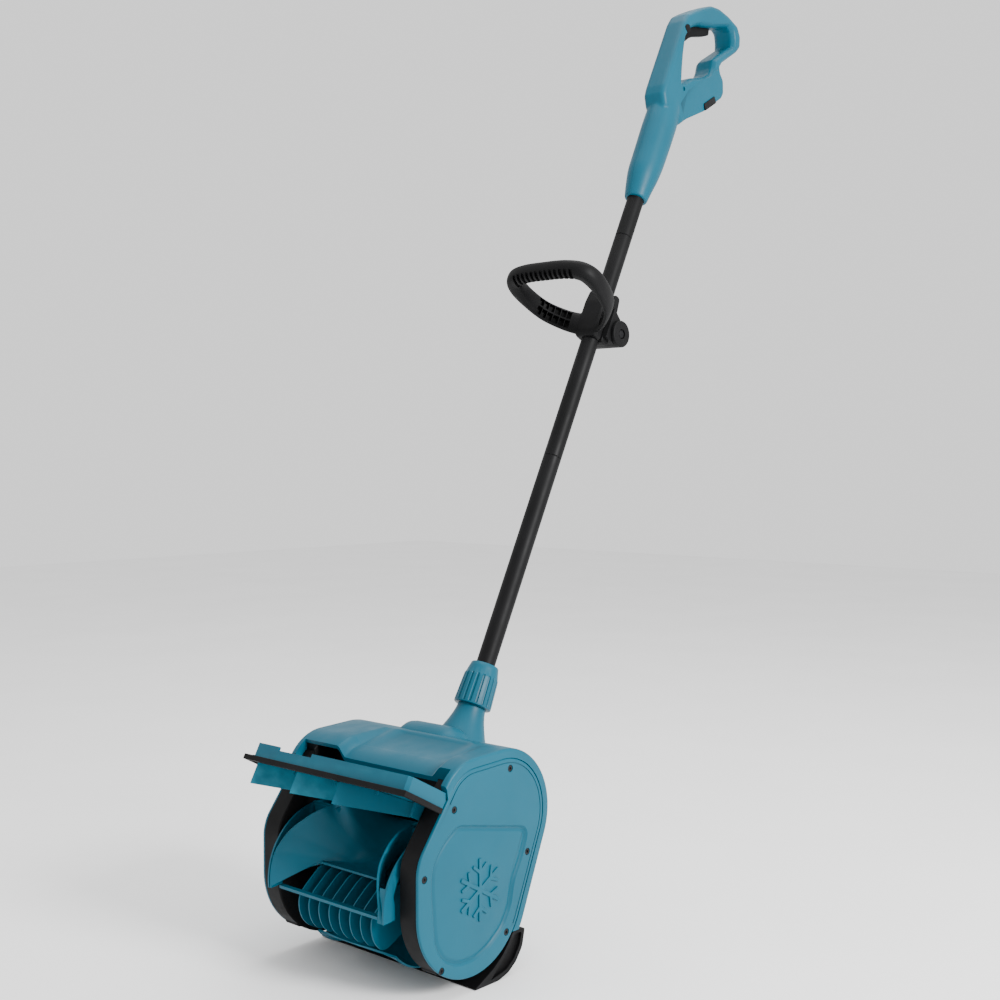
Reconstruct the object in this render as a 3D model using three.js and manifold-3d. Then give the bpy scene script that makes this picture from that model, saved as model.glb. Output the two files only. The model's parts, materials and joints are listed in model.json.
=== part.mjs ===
// Cordless power snow shovel: rotor head, three-piece shaft, fore grip and battery handle.
// Millimetres, +Z up. The front (intake) faces -Y. The origin is the middle of the scraper's ground face.
import * as THREE from "three";
import { mergeVertices } from "three/addons/utils/BufferGeometryUtils.js";
import Module from "manifold-3d";

const wasm = await Module();
wasm.setup();

// ---------- driving dimensions ----------
const HEAD_HALF = 136;                       // half width of the head over its side covers
const FRAME_INNER = 106;                     // inner face of a side frame
const FRAME_OUTER = 131.5;                   // outer lip of a side frame
const COVER_INNER = 132;                     // back face of a side cover
const RECESS_DEPTH = 2.6;                    // depth of the panel recess in a side cover
const GAP = 0.4;                             // clearance between touching pieces
const RIM = 11.5;                            // how far the hood's rims stand outside the covers
const HOOD_WALL = 3.5;                       // wall of the hood shell
const AXLE = { y: -40, z: 106, r: 6 };       // rotor axle, along X
const ROTOR_R = 94;                          // rotor envelope radius
const MOTOR = { y: 44, z: 216, r: 22 };      // drive motor axis, along X
const TUBE_R = 12.5;                         // shaft tube radius
const TUBE_BORE = 11;                        // shaft tube bore radius
const SHAFT_TOP = new THREE.Vector3(0, 145, 346);   // shaft axis at the top of the collar nut
const LEAN = THREE.MathUtils.degToRad(26.81);       // shaft lean from vertical, towards the user
const JOINT_S = [303.6, 662];                // shaft joints, measured along the shaft from SHAFT_TOP
const DEFLECTOR_TILT = THREE.MathUtils.degToRad(28);

// A side cover's outline is the hull of these four circles: belly, front shoulder, crown and back.
const SIDE_CIRCLES = [
  { y: -26, z: 106, r: 88 },
  { y: -64, z: 150, r: 50 },
  { y: -20, z: 212, r: 48 },
  { y: 30, z: 192, r: 70 },
];

// ---------- materials ----------
const paint = (color, roughness, metalness = 0) => new THREE.MeshStandardMaterial({ color, roughness, metalness });
const TEAL = paint(0x2f8fa8, 0.42);
const BLACK = paint(0x2b2b2d, 0.55);
const TUBE_BLACK = paint(0x1d1d1f, 0.35, 0.4);
const STEEL = paint(0x9a9da0, 0.35, 1);
const DARK_STEEL = paint(0x3a3b3d, 0.4, 1);
const RUBBER = paint(0x18181a, 0.9);

// ---------- solids ----------
function solid(geometry) {
  const bare = geometry.index ? geometry.toNonIndexed() : geometry.clone();
  bare.deleteAttribute("normal");
  bare.deleteAttribute("uv");
  const merged = mergeVertices(bare, 1e-4);
  return new wasm.Manifold(new wasm.Mesh({
    numProp: 3,
    vertProperties: new Float32Array(merged.attributes.position.array),
    triVerts: new Uint32Array(merged.index.array),
  }));
}

function geometryOf(manifold) {
  const mesh = manifold.getMesh();
  const geometry = new THREE.BufferGeometry();
  geometry.setAttribute("position", new THREE.BufferAttribute(new Float32Array(mesh.vertProperties), 3));
  geometry.setIndex(new THREE.BufferAttribute(new Uint32Array(mesh.triVerts), 1));
  geometry.computeVertexNormals();
  return geometry;
}

const join = (...pieces) => pieces.reduce((whole, piece) => whole.add(piece));
const cut = (whole, ...tools) => tools.reduce((rest, tool) => rest.subtract(tool), whole);

const root = new THREE.Group();

function node(name, shape, material, parent = root) {
  const mesh = new THREE.Mesh(shape.isBufferGeometry ? shape : geometryOf(shape), material);
  mesh.name = name;
  parent.add(mesh);
  return mesh;
}

// Frames: an extrusion's own z axis becomes X (sideFrame), or a lathe's own y axis becomes X or the shaft.
const sideFrame = new THREE.Matrix4().makeBasis(
  new THREE.Vector3(0, 1, 0), new THREE.Vector3(0, 0, 1), new THREE.Vector3(1, 0, 0));
const shaftFrame = new THREE.Matrix4().makeRotationX(-LEAN).setPosition(SHAFT_TOP);

const shapeOf = (points) => new THREE.Shape(points.map(([a, b]) => new THREE.Vector2(a, b)));

// A flat outline given as (y, z) points, extruded along X from x0 to x1.
function slabX(points, x0, x1) {
  const geometry = new THREE.ExtrudeGeometry(shapeOf(points), { depth: x1 - x0, bevelEnabled: false });
  return solid(geometry.translate(0, 0, x0).applyMatrix4(sideFrame));
}

const boxAt = (x0, x1, y0, y1, z0, z1) => solid(new THREE.BoxGeometry(x1 - x0, y1 - y0, z1 - z0)
  .translate((x0 + x1) / 2, (y0 + y1) / 2, (z0 + z1) / 2));

// A round bar along X.
const barX = (r, x0, x1, y, z, sides = 20) => solid(new THREE.CylinderGeometry(r, r, x1 - x0, sides)
  .rotateZ(-Math.PI / 2).translate((x0 + x1) / 2, y, z));

// A body turned about its own Y axis from (radius, height) points, both ends on the axis.
const turned = (profile, sides = 32) => new THREE.LatheGeometry(
  profile.map(([r, h]) => new THREE.Vector2(r, h)), sides);

// A turned body on the shaft: heights are distances along the shaft; the lathe's Y axis is the shaft.
const shaftAxis = new THREE.Matrix4().makeRotationX(Math.PI / 2);
const onShaft = (profile, sides = 32) => solid(turned(profile, sides).applyMatrix4(shaftAxis)
  .applyMatrix4(shaftFrame));

const rod = (r, s0, s1, sides = 20) => onShaft([[0, s0], [r, s0], [r, s1], [0, s1]], sides);

// A closed body through rings of points; every ring has the same count and is roughly convex.
function loft(rings) {
  const count = rings[0].length;
  const positions = [];
  rings.forEach((ring) => ring.forEach((p) => positions.push(...p)));
  const index = [];
  for (let i = 0; i + 1 < rings.length; i++) {
    for (let j = 0; j < count; j++) {
      const a = i * count + j;
      const b = i * count + (j + 1) % count;
      index.push(a, b, b + count, a, b + count, a + count);
    }
  }
  const cap = (start, flip) => {
    const ring = rings[start / count];
    const centre = [0, 1, 2].map((k) => ring.reduce((sum, p) => sum + p[k], 0) / count);
    positions.push(...centre);
    const hub = positions.length / 3 - 1;
    for (let j = 0; j < count; j++) {
      const a = start + j;
      const b = start + (j + 1) % count;
      index.push(...(flip ? [hub, b, a] : [hub, a, b]));
    }
  };
  cap(0, true);
  cap((rings.length - 1) * count, false);
  return fromIndexed(positions, index);
}

function fromIndexed(positions, index) {
  const geometry = new THREE.BufferGeometry();
  geometry.setAttribute("position", new THREE.Float32BufferAttribute(positions, 3));
  geometry.setIndex(index);
  const body = solid(geometry);
  if (body.volume() > 0) return body;
  for (let i = 0; i < index.length; i += 3) {
    [index[i], index[i + 1]] = [index[i + 1], index[i]];
  }
  geometry.setIndex(index);
  return solid(geometry);
}

// A sheet of a given thickness: grid[i][j] are points of one face, backs[i][j] of the other.
function sheet(grid, backs) {
  const rows = grid.length;
  const columns = grid[0].length;
  const positions = [...grid.flat(), ...backs.flat()].flat();
  const at = (side, i, j) => side * rows * columns + i * columns + j;
  const index = [];
  const quad = (a, b, c, d) => index.push(a, b, c, a, c, d);
  for (let i = 0; i + 1 < rows; i++) {
    for (let j = 0; j + 1 < columns; j++) {
      quad(at(0, i, j), at(0, i, j + 1), at(0, i + 1, j + 1), at(0, i + 1, j));
      quad(at(1, i + 1, j), at(1, i + 1, j + 1), at(1, i, j + 1), at(1, i, j));
    }
    quad(at(0, i + 1, 0), at(1, i + 1, 0), at(1, i, 0), at(0, i, 0));
    quad(at(0, i, columns - 1), at(1, i, columns - 1), at(1, i + 1, columns - 1), at(0, i + 1, columns - 1));
  }
  for (let j = 0; j + 1 < columns; j++) {
    quad(at(0, 0, j), at(1, 0, j), at(1, 0, j + 1), at(0, 0, j + 1));
    quad(at(0, rows - 1, j + 1), at(1, rows - 1, j + 1), at(1, rows - 1, j), at(0, rows - 1, j));
  }
  return fromIndexed(positions, index);
}

// ---------- side outline ----------
// Points of the side outline grown by an offset, one for each direction that the edge faces.
function sideOutline(offset, steps = 48) {
  const points = [];
  for (let i = 0; i < steps; i++) {
    const angle = (i / steps) * 2 * Math.PI;
    const ny = Math.cos(angle);
    const nz = Math.sin(angle);
    const reach = (c) => c.y * ny + c.z * nz + c.r;
    const far = SIDE_CIRCLES.reduce((best, c) => (reach(c) > reach(best) ? c : best));
    points.push([far.y + (far.r + offset) * ny, far.z + (far.r + offset) * nz]);
  }
  return points;
}

const ringX = (x, outline) => outline.map(([y, z]) => [x, y, z]);

// ---------- hood ----------
const HOOD_FRONT_Y = -52;                    // front edge of the hood between the rims
const RIM_FRONT = [-66, 222];                // where each rim starts at the front
const RIM_INNER = 127;                       // inner side of the rims' front ends
const BAND_LEFT = -60;                       // the hood's raised left band ends here
const BAND_BACK_Y = 26;                      // the hood's raised back band starts here
const BAND_ROOM = [1 - RIM_INNER, BAND_LEFT - 10];   // the left band is hollow between these, open to the front
const HOOD_FOOT_Z = 52.5;                    // lower edge of the hood's back wall

function hood() {
  const low = sideOutline(1.2);
  const high = sideOutline(RIM);
  const skin = loft([
    ringX(-HEAD_HALF, sideOutline(RIM - 2)), ringX(-HEAD_HALF + 2, high), ringX(BAND_LEFT - 6, high),
    ringX(BAND_LEFT, low), ringX(96, low), ringX(110, high), ringX(HEAD_HALF - 2, high),
    ringX(HEAD_HALF, sideOutline(RIM - 2)),
  ]);
  const backBand = slabX(high, -100, 104).intersect(boxAt(-120, 120, BAND_BACK_Y, 200, 0, 400));
  const bulge = loft([[-58, 22], [-52, 30], [20, 30], [40, 20]].map(([x, r]) => ringX(x, disc(58, 250, r))));
  const neck = onShaft([[0, -132], [44, -132], [38, -112], [27, -88], [20, -68], [18.5, -58],
    [18.5, -50], [16.5, -48], [16.5, -8], [0, -8]], 24);
  const inside = slabX(sideOutline(-HOOD_WALL + 1.2), -FRAME_INNER + GAP, FRAME_INNER - GAP);
  const bandRoom = slabX(sideOutline(RIM - HOOD_WALL), ...BAND_ROOM).intersect(boxAt(-200, 200, -200, -20, 0, 400));
  const sideBays = [-1, 1].map((side) => slabX(sideOutline(GAP),
    Math.min(side * (FRAME_INNER - GAP), side * 200), Math.max(side * (FRAME_INNER - GAP), side * 200)));
  const frontCut = slabX([[HOOD_FRONT_Y, 400], [HOOD_FRONT_Y, 236], [-20, 120], [-20, -50], [-300, -50],
    [-300, 400]], -RIM_INNER, RIM_INNER);
  const rimCut = slabX([[RIM_FRONT[0] - 30, 400], [RIM_FRONT[0], RIM_FRONT[1] + 10], [-20, 150], [-20, -50],
    [-300, -50], [-300, 400]], -200, 200);
  const footCut = boxAt(-200, 200, -300, 200, -100, HOOD_FOOT_Z);
  const vents = [];
  for (let i = -3; i <= 3; i++) vents.push(boxAt(i * 11 - 2.5, i * 11 + 2.5, 60, 130, 176, 206));
  const bore = rod(TUBE_R + GAP, -76, 40);
  const cableWay = rod(6, -160, 0, 16);
  const body = cut(join(skin, backBand, bulge, neck), inside, bandRoom, ...sideBays, frontCut, rimCut, footCut,
    ...vents, bore, cableWay);
  return keepLargest(body);
}

const disc = (y, z, r, sides = 24) => Array.from({ length: sides }, (_, i) => {
  const angle = (i / sides) * 2 * Math.PI;
  return [y + r * Math.cos(angle), z + r * Math.sin(angle)];
});

function keepLargest(body) {
  return body.decompose().reduce((best, piece) => (piece.volume() > best.volume() ? piece : best));
}

// ---------- side frames and covers ----------
const SCREWS = [[40, 249], [-56, 218], [71, 143], [-104, 149], [33, 55], [-77, 39]];
const RECESS = [[-50, 199], [66, 175], [72, 165], [62, 139], [47, 113], [41, 84], [27, 62], [3, 45], [-22, 36],
  [-50, 37], [-75, 49], [-87, 69], [-90, 98], [-93, 136], [-92, 155], [-84, 172], [-69, 187]];

function sideFrameBody(side) {
  const outer = slabX(sideOutline(0), FRAME_INNER, FRAME_OUTER);
  const hollow = slabX(sideOutline(-4), FRAME_INNER + 4, FRAME_OUTER + 1);
  const boss = barX(17, FRAME_INNER + 3, FRAME_INNER + 5, AXLE.y, AXLE.z);
  const seat = barX(13.3, FRAME_INNER - 1, FRAME_INNER + 10, AXLE.y, AXLE.z);
  const posts = SCREWS.map(([y, z]) => barX(5.5, FRAME_INNER + 3, FRAME_OUTER, y, z, 8));
  const pilots = SCREWS.map(([y, z]) => barX(2.3, FRAME_INNER + 8, FRAME_OUTER + 1, y, z, 6));
  const motorHole = barX(12, FRAME_INNER - 1, FRAME_INNER + 5, MOTOR.y, MOTOR.z);
  const body = cut(join(cut(outer, hollow), boss, ...posts), seat, ...pilots);
  return handed(side < 0 ? cut(body, motorHole) : body, side);
}

const handed = (body, side) => (side > 0 ? body : body.mirror([1, 0, 0]));

// A six-armed snow crystal stands on the panel inside the recess.
function crystal() {
  const arms = [];
  const centre = new THREE.Vector3(HEAD_HALF - RECESS_DEPTH / 2 - 0.4, -12, 116);
  for (let i = 0; i < 3; i++) {
    const arm = new THREE.BoxGeometry(RECESS_DEPTH, 5, 74).rotateX((i * Math.PI) / 3);
    arms.push(solid(arm.translate(centre.x, centre.y, centre.z)));
  }
  for (let i = 0; i < 6; i++) {
    for (const lean of [-1, 1]) {
      const twig = new THREE.BoxGeometry(RECESS_DEPTH, 4, 16).translate(0, 0, 7).rotateX(lean * 0.9)
        .translate(0, 0, 20).rotateX((i * Math.PI) / 3);
      arms.push(solid(twig.translate(centre.x, centre.y, centre.z)));
    }
  }
  return join(...arms);
}

function sideCover(side) {
  const plate = loft([ringX(COVER_INNER, sideOutline(0)), ringX(HEAD_HALF - 1.2, sideOutline(0)),
    ringX(HEAD_HALF, sideOutline(-1.2))]);
  const recess = slabX(RECESS, HEAD_HALF - RECESS_DEPTH, HEAD_HALF + 1);
  const groove = cut(slabX(sideOutline(-3.2), HEAD_HALF - 0.9, HEAD_HALF + 1),
    slabX(sideOutline(-4.4), HEAD_HALF - 2, HEAD_HALF + 2));
  const grooveArc = groove.intersect(slabX([[-75, 232], [0, 190], [30, 70], [90, 40], [200, 120], [60, 330],
    [-60, 300]], HEAD_HALF - 3, HEAD_HALF + 3));
  const heads = SCREWS.map(([y, z]) => barX(4.4, HEAD_HALF - 2.2, HEAD_HALF + 1, y, z, 12));
  const shanks = SCREWS.map(([y, z]) => barX(2.4, COVER_INNER - 1, HEAD_HALF, y, z, 8));
  const inlay = crystal().intersect(slabX(RECESS, HEAD_HALF - RECESS_DEPTH - 0.8, HEAD_HALF + 2));
  return handed(cut(join(cut(plate, recess, grooveArc), inlay), ...heads, ...shanks), side);
}

function coverScrew(y, z, side) {
  const head = barX(3.9, HEAD_HALF - 2, HEAD_HALF - 0.4, y, z, 10);
  const socket = barX(1.9, HEAD_HALF - 1.4, HEAD_HALF + 1, y, z, 6);
  const shank = barX(1.9, HEAD_HALF - 20, HEAD_HALF - 1.8, y, z, 6);
  return handed(cut(join(head, shank), socket), side);
}

// ---------- scraper ----------
const SCRAPER = [[-20, 0], [20, 0], [38, 5], [52, 15], [63, 30], [68, 51.8], [46, 51.8], [38, 40], [27, 28],
  [12, 17], [-4, 9], [-20, 1.6]];

// ---------- rotor ----------
const BOWL_STEPS = 10;
const SIDE_STEPS = 5;
const BOWL_WALL = 2.6;
const RIB_PITCH = 18;

const lerp = THREE.MathUtils.lerp;

// A place around the axle: forward and up from it.
function around(degrees, r) {
  const a = THREE.MathUtils.degToRad(degrees);
  return new THREE.Vector2(r * Math.cos(a), r * Math.sin(a));
}
const placed = (x, v) => new THREE.Vector3(x, AXLE.y - v.x, AXLE.z + v.y);
const sidePoint = (degrees, r) => placed(0, around(degrees, r)).toArray().slice(1);

// The scoop's floor runs back from its front sill, over the axle, and rises to its throwing lip.
const bowlFloor = new THREE.CatmullRomCurve3([[48, 22], [30, 22], [10, 24], [-12, 30], [-36, 42], [-62, 58]]
  .map(([forward, up]) => new THREE.Vector3(forward, up, 0)));

// The rim starts at the wide front tips, keeps to the rotor's envelope over the top and falls to the lip.
function bowlRim(t) {
  const angle = lerp(-4, 137, t);
  const r = angle < 60 ? ROTOR_R : lerp(ROTOR_R, 84, Math.min(1, (angle - 60) / 40));
  return { angle, v: around(angle, r) };
}

// Half widths of the rim by angle: the left side draws in over the top and the right side stays wide.
const RIM_LEFT = [[-4, 97], [22, 97], [39, 86], [65, 60], [100, 52], [137, 48]];
const RIM_RIGHT = [[-4, 97], [12, 89], [26, 81], [34, 77], [62, 75], [100, 80], [137, 86]];

function widthAt(table, angle) {
  const i = Math.max(1, table.findIndex(([a]) => a >= angle));
  const [a0, w0] = table[i - 1];
  const [a1, w1] = table[i];
  return lerp(w0, w1, (angle - a0) / (a1 - a0));
}

// One row across the scoop: a straight sill with slanted ends at the front, turning into a smooth curve.
function bowlRow(t) {
  const floor = bowlFloor.getPoint(t);
  const { angle, v: rim } = bowlRim(t);
  const bend = Math.min(1, t * 2.5);
  const flat = 0.6 * (1 - bend);
  const power = lerp(1, 2.2, bend);
  const row = [];
  for (let k = -SIDE_STEPS; k <= SIDE_STEPS; k++) {
    const u = k / SIDE_STEPS;
    const half = widthAt(k < 0 ? RIM_LEFT : RIM_RIGHT, angle);
    const rise = Math.pow(Math.max(0, (Math.abs(u) - flat) / (1 - flat)), power);
    const v = new THREE.Vector2(lerp(floor.x, rim.x, rise), lerp(floor.y, rim.y, rise));
    row.push(placed(u * half, v));
  }
  return row;
}

function scoop() {
  const face = [];
  for (let i = 0; i <= BOWL_STEPS; i++) face.push(bowlRow(i / BOWL_STEPS));
  const clampTo = (n, top) => Math.max(0, Math.min(top, n));
  const back = face.map((row, i) => row.map((p, j) => {
    const down = face[clampTo(i + 1, BOWL_STEPS)][j].clone().sub(face[clampTo(i - 1, BOWL_STEPS)][j]);
    const across = row[clampTo(j + 1, 2 * SIDE_STEPS)].clone().sub(row[clampTo(j - 1, 2 * SIDE_STEPS)]);
    return p.clone().addScaledVector(down.cross(across).normalize(), BOWL_WALL);
  }));
  const points = (rows) => rows.map((row) => row.map((p) => p.toArray()));
  return sheet(points(face), points(back));
}

// The ribs carry both scoops on the hub; their round front edges run from the cross bar to the lip.
const RIB_HALF = [[24, 50], [-6, 82], [-17, 87], [-29, 88], [-41, 83], [-50, 50], [-80, 26], [-120, 20]];
const ribShape = [...RIB_HALF, ...RIB_HALF.map(([degrees, r]) => [degrees - 180, r])]
  .map(([degrees, r]) => sidePoint(degrees, r));

// The end cheeks are crescents: full radius at the front tip, drawing in towards the back.
function cheekShape() {
  const outer = [];
  const inner = [];
  for (let a = -5; a <= 115; a += 15) {
    const r = ROTOR_R - 18 * Math.pow(Math.max(0, (a - 15) / 100), 1.4);
    outer.push(sidePoint(a, r));
    inner.push(sidePoint(a, r - 13));
  }
  return [...outer, ...inner.reverse()];
}

function rotor() {
  const halfTurn = (body) => solid(geometryOf(body).translate(0, -AXLE.y, -AXLE.z).rotateX(Math.PI)
    .translate(0, AXLE.y, AXLE.z));
  const sector = (corners) => corners.map(([a, r]) => sidePoint(a, r));
  const cheek = cheekShape();
  const tip = sector([[-5, 93.5], [-5, 76], [8, 77], [19, 84], [19, 93.5]]);
  const web = sector([[74, 86], [74, 60], [77, 60], [77, 86]]);
  const crossBar = sector([[-4, 78], [-4, 84], [-6.5, 84], [-6.5, 78]]);
  const half = join(scoop(), slabX(crossBar, -92, 80), slabX(cheek, -101.5, -99), slabX(cheek, 99, 101.5),
    slabX(tip, -101, -96), slabX(tip, 90, 101), slabX(web, -101, -54), slabX(web, 74, 101));
  const ribs = [];
  for (let i = -3; i <= 4; i++) {
    const middle = (i - 0.5) * RIB_PITCH + 6;
    ribs.push(slabX(ribShape, middle - 1, middle + 1));
  }
  const hub = barX(11, -101.5, 101.5, AXLE.y, AXLE.z, 12);
  const whole = join(half, halfTurn(half), hub, ...ribs);
  return keepLargest(cut(whole, barX(AXLE.r + 0.3, -110, 110, AXLE.y, AXLE.z, 16)));
}

// The shroud closes the rotor's chamber behind and above it and lines the hollow of the hood's left band.
const SHROUD_R = 98.5;
const SHROUD_WALL = 2.5;
const SHROUD_Y = -24;                        // front face of the shroud's upper wall
const FIT = 0.6;                             // clearance round the shroud

function shroud() {
  const arc = (r) => [98, 112, 126, 140, 154, 168, 182].map((a) => sidePoint(a, r));
  const back = slabX([[SHROUD_Y, 252], ...arc(SHROUD_R), ...arc(SHROUD_R + SHROUD_WALL).reverse(),
    [SHROUD_Y + SHROUD_WALL, 252]], FIT - FRAME_INNER, FRAME_INNER - FIT);
  const bandRoom = slabX(sideOutline(RIM - HOOD_WALL - FIT), BAND_ROOM[0] + FIT, BAND_ROOM[1] - FIT);
  const upperWall = boxAt(-FRAME_INNER, 0, SHROUD_Y, SHROUD_Y + SHROUD_WALL, 200, 280);
  const sideWall = boxAt(FIT - FRAME_INNER, 3 - FRAME_INNER, -57, SHROUD_Y + 2, 215, 280);
  const overFrame = cut(boxAt(-RIM_INNER, 3 - FRAME_INNER, HOOD_FRONT_Y + 1, SHROUD_Y + 2, 200, 280),
    slabX(sideOutline(GAP + FIT), -RIM_INNER - 1, FIT - FRAME_INNER));
  return join(back, join(upperWall, sideWall, overFrame).intersect(bandRoom));
}

// ---------- drive ----------
const BELT_X = [-124, -114];
const DRIVEN_R = 36;
const DRIVER_R = 11;

function beltOutline(grow) {
  const circles = [{ y: AXLE.y, z: AXLE.z, r: DRIVEN_R + grow }, { y: MOTOR.y, z: MOTOR.z, r: DRIVER_R + grow }];
  const points = [];
  const steps = 40;
  for (let i = 0; i < steps; i++) {
    const ny = Math.cos((i / steps) * 2 * Math.PI);
    const nz = Math.sin((i / steps) * 2 * Math.PI);
    const reach = (c) => c.y * ny + c.z * nz + c.r;
    const far = reach(circles[0]) > reach(circles[1]) ? circles[0] : circles[1];
    points.push([far.y + far.r * ny, far.z + far.r * nz]);
  }
  return points;
}

function pulley(centre, r, bore, x0, x1) {
  const body = join(barX(r, x0, x1, centre.y, centre.z, 32), barX(r + 2.5, x0 - 1.5, x0, centre.y, centre.z, 32),
    barX(r + 2.5, x1, x1 + 1.5, centre.y, centre.z, 32));
  return cut(body, barX(bore, x0 - 5, x1 + 5, centre.y, centre.z, 16));
}

// ---------- deflector ----------
const DEFLECTOR_EDGE = [-130, 254];          // front edge of the plate, (y, z), top face

// The deflector's own frame: x across, y back from the front edge, z up from the top face.
const deflectorFrame = new THREE.Matrix4().makeRotationX(-DEFLECTOR_TILT)
  .setPosition(0, DEFLECTOR_EDGE[0], DEFLECTOR_EDGE[1]);

// A flat outline in (x, d), extruded from height h0 to h1 over the deflector's plane.
function onPlate(points, h0, h1) {
  const geometry = new THREE.ExtrudeGeometry(shapeOf(points), { depth: h1 - h0, bevelEnabled: false });
  return solid(geometry.translate(0, 0, h0).applyMatrix4(deflectorFrame));
}

const VANE_X = [-88, -14, 60];               // vane pivots across the plate
const VANE_D = 32;                           // vane pivots behind the front edge
const VANE_LENGTH = 90;
const VANE_DROP = [30, 16];                  // blade depth at its front and back ends
const VANE_TURN = THREE.MathUtils.degToRad(41);

const FLANGE = 16;                           // height of the plate's upstand along its front and sides

function deflectorPlate() {
  const floor = onPlate([[-134, 0], [134, 0], [134, 70], [112, 78], [-112, 78], [-134, 70]], -3, 0);
  const front = cut(onPlate([[-134, 0], [134, 0], [134, 3], [-134, 3]], -3, FLANGE),
    onPlate([[-92, -5], [-32, -5], [-32, 8], [-92, 8]], FLANGE - 4.5, FLANGE + 5));
  const sides = [-134, 131].map((x) => onPlate([[x, 0], [x + 3, 0], [x + 3, 70], [x, 70]], -3, FLANGE));
  const ears = [-FRAME_INNER + 0.6, FRAME_INNER - 5].map((x) => onPlate(
    [[x, 52], [x + 4.4, 52], [x + 4.4, 76], [x, 76]], -20, 0));
  const pinHoles = VANE_X.map((x) => onPlate(disc(x, VANE_D, 3.2, 16), -10, 5));
  return cut(join(floor, front, ...sides, ...ears), ...sideClearance, ...pinHoles);
}

// ---------- assembly ----------
node("hood_shell", hood(), TEAL);
for (const side of [-1, 1]) {
  const label = side < 0 ? "left" : "right";
  node(`${label}_side_frame`, sideFrameBody(side), BLACK);
  node(`${label}_side_cover`, sideCover(side), TEAL);
  SCREWS.forEach(([y, z], i) => node(`${label}_cover_screw_${i + 1}`, coverScrew(y, z, side), DARK_STEEL));
}
node("scraper_blade", slabX(SCRAPER, -HEAD_HALF + 1, HEAD_HALF - 1), BLACK);
node("rotor", rotor(), TEAL);
node("rotor_shroud", shroud(), BLACK);
node("rotor_axle", barX(AXLE.r, -130, 116, AXLE.y, AXLE.z), STEEL);
node("driven_pulley", pulley(AXLE, DRIVEN_R, AXLE.r + 0.3, ...BELT_X), BLACK);
node("motor_pulley", pulley(MOTOR, DRIVER_R, 4.3, ...BELT_X), DARK_STEEL);
node("drive_belt", cut(slabX(beltOutline(3), BELT_X[0] + 0.5, BELT_X[1] - 0.5),
  slabX(beltOutline(0.3), BELT_X[0] - 5, BELT_X[1] + 5)), RUBBER);

for (const side of [-1, 1]) {
  const label = side < 0 ? "left" : "right";
  const ring = cut(barX(13, FRAME_INNER - 1, FRAME_INNER + 5, AXLE.y, AXLE.z),
    barX(AXLE.r + 0.3, FRAME_INNER - 2, FRAME_INNER + 6, AXLE.y, AXLE.z));
  node(`${label}_axle_bearing`, handed(ring, side), STEEL);
}

// Motor: can, shaft and a bracket plate that hangs it from the left side frame.
node("motor_can", join(barX(MOTOR.r, -92, -34, MOTOR.y, MOTOR.z, 28), barX(8, -34, -30, MOTOR.y, MOTOR.z, 16),
  barX(8, -96, -92, MOTOR.y, MOTOR.z, 16)), DARK_STEEL);
node("motor_shaft", barX(4, -126, -96.4, MOTOR.y, MOTOR.z, 20), STEEL);
node("motor_bracket", cut(slabX(disc(MOTOR.y, MOTOR.z, MOTOR.r + 3, 20), -105.2, -92.4),
  barX(MOTOR.r - 2, -102, -90, MOTOR.y, MOTOR.z, 20), barX(9, -110, -90, MOTOR.y, MOTOR.z, 16)), BLACK);

// Deflector: tilted tray with a front strip under its edge and three vanes on pivots.
const rimRoom = [[-68, 190], [-30, 190], [-30, 300], [-68, 300]];
const sideClearance = [[FRAME_INNER - GAP, 200], [-200, GAP - FRAME_INNER]].flatMap(([x0, x1]) => [
  slabX(sideOutline(1), x0, x1), slabX(rimRoom, x0, x1)]);
node("deflector_plate", deflectorPlate(), TEAL);
node("deflector_front_strip", cut(onPlate([[-141, -7], [141, -7], [141, 20], [138, 62], [134.6, 62], [134.6, -0.6],
  [-134.6, -0.6], [-134.6, 40], [-141, 40]], -8, -1.5), ...sideClearance), BLACK);

function vane(x, name) {
  const c = Math.cos(VANE_TURN);
  const s = Math.sin(VANE_TURN);
  const half = VANE_LENGTH / 2;
  const top = -3.6;
  const at = (u, v, h) => new THREE.Vector3(x + u * c - v * s, VANE_D + u * s + v * c, h)
    .applyMatrix4(deflectorFrame).toArray();
  const side = (v) => [at(-half, v, top), at(half, v, top), at(half, v, top - VANE_DROP[1]),
    at(-half, v, top - VANE_DROP[0])];
  const blade = loft([side(-1.3), side(1.3)]);
  const flange = loft([[-half * 0.3, 0], [half, 0], [half, 5], [-half * 0.3, 5]].reduce((rings, [u, v]) => {
    rings[0].push(at(u, v, top - 2));
    rings[1].push(at(u, v, top));
    return rings;
  }, [[], []]));
  const stem = onPlate(disc(x, VANE_D, 2.9, 12), -8, 2);
  const head = onPlate(disc(x, VANE_D, 5, 12), 0.4, 2.4);
  node(name, join(blade, flange, stem, head), TEAL);
}
VANE_X.forEach((x, i) => vane(x, `deflector_vane_${i + 1}`));

// Collar nut: clamps the lower tube in the hood's threaded neck.
function collarNut() {
  const flutes = (r, depth, s) => Array.from({ length: 64 }, (_, i) => {
    const reach = i % 4 < 2 ? r : r - depth;
    const angle = (i / 64) * 2 * Math.PI;
    return new THREE.Vector3(reach * Math.cos(angle), reach * Math.sin(angle), s).applyMatrix4(shaftFrame).toArray();
  });
  const outside = loft([flutes(23.8, 0, -57), flutes(24.8, 1.6, -55), flutes(22.6, 1.4, -17), flutes(17.8, 0, 0)]);
  return cut(outside, onShaft([[0, -60], [18.9, -60], [18.9, -8], [13, -4], [13, 1], [0, 1]], 20));
}
node("collar_nut", collarNut(), TEAL);

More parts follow.
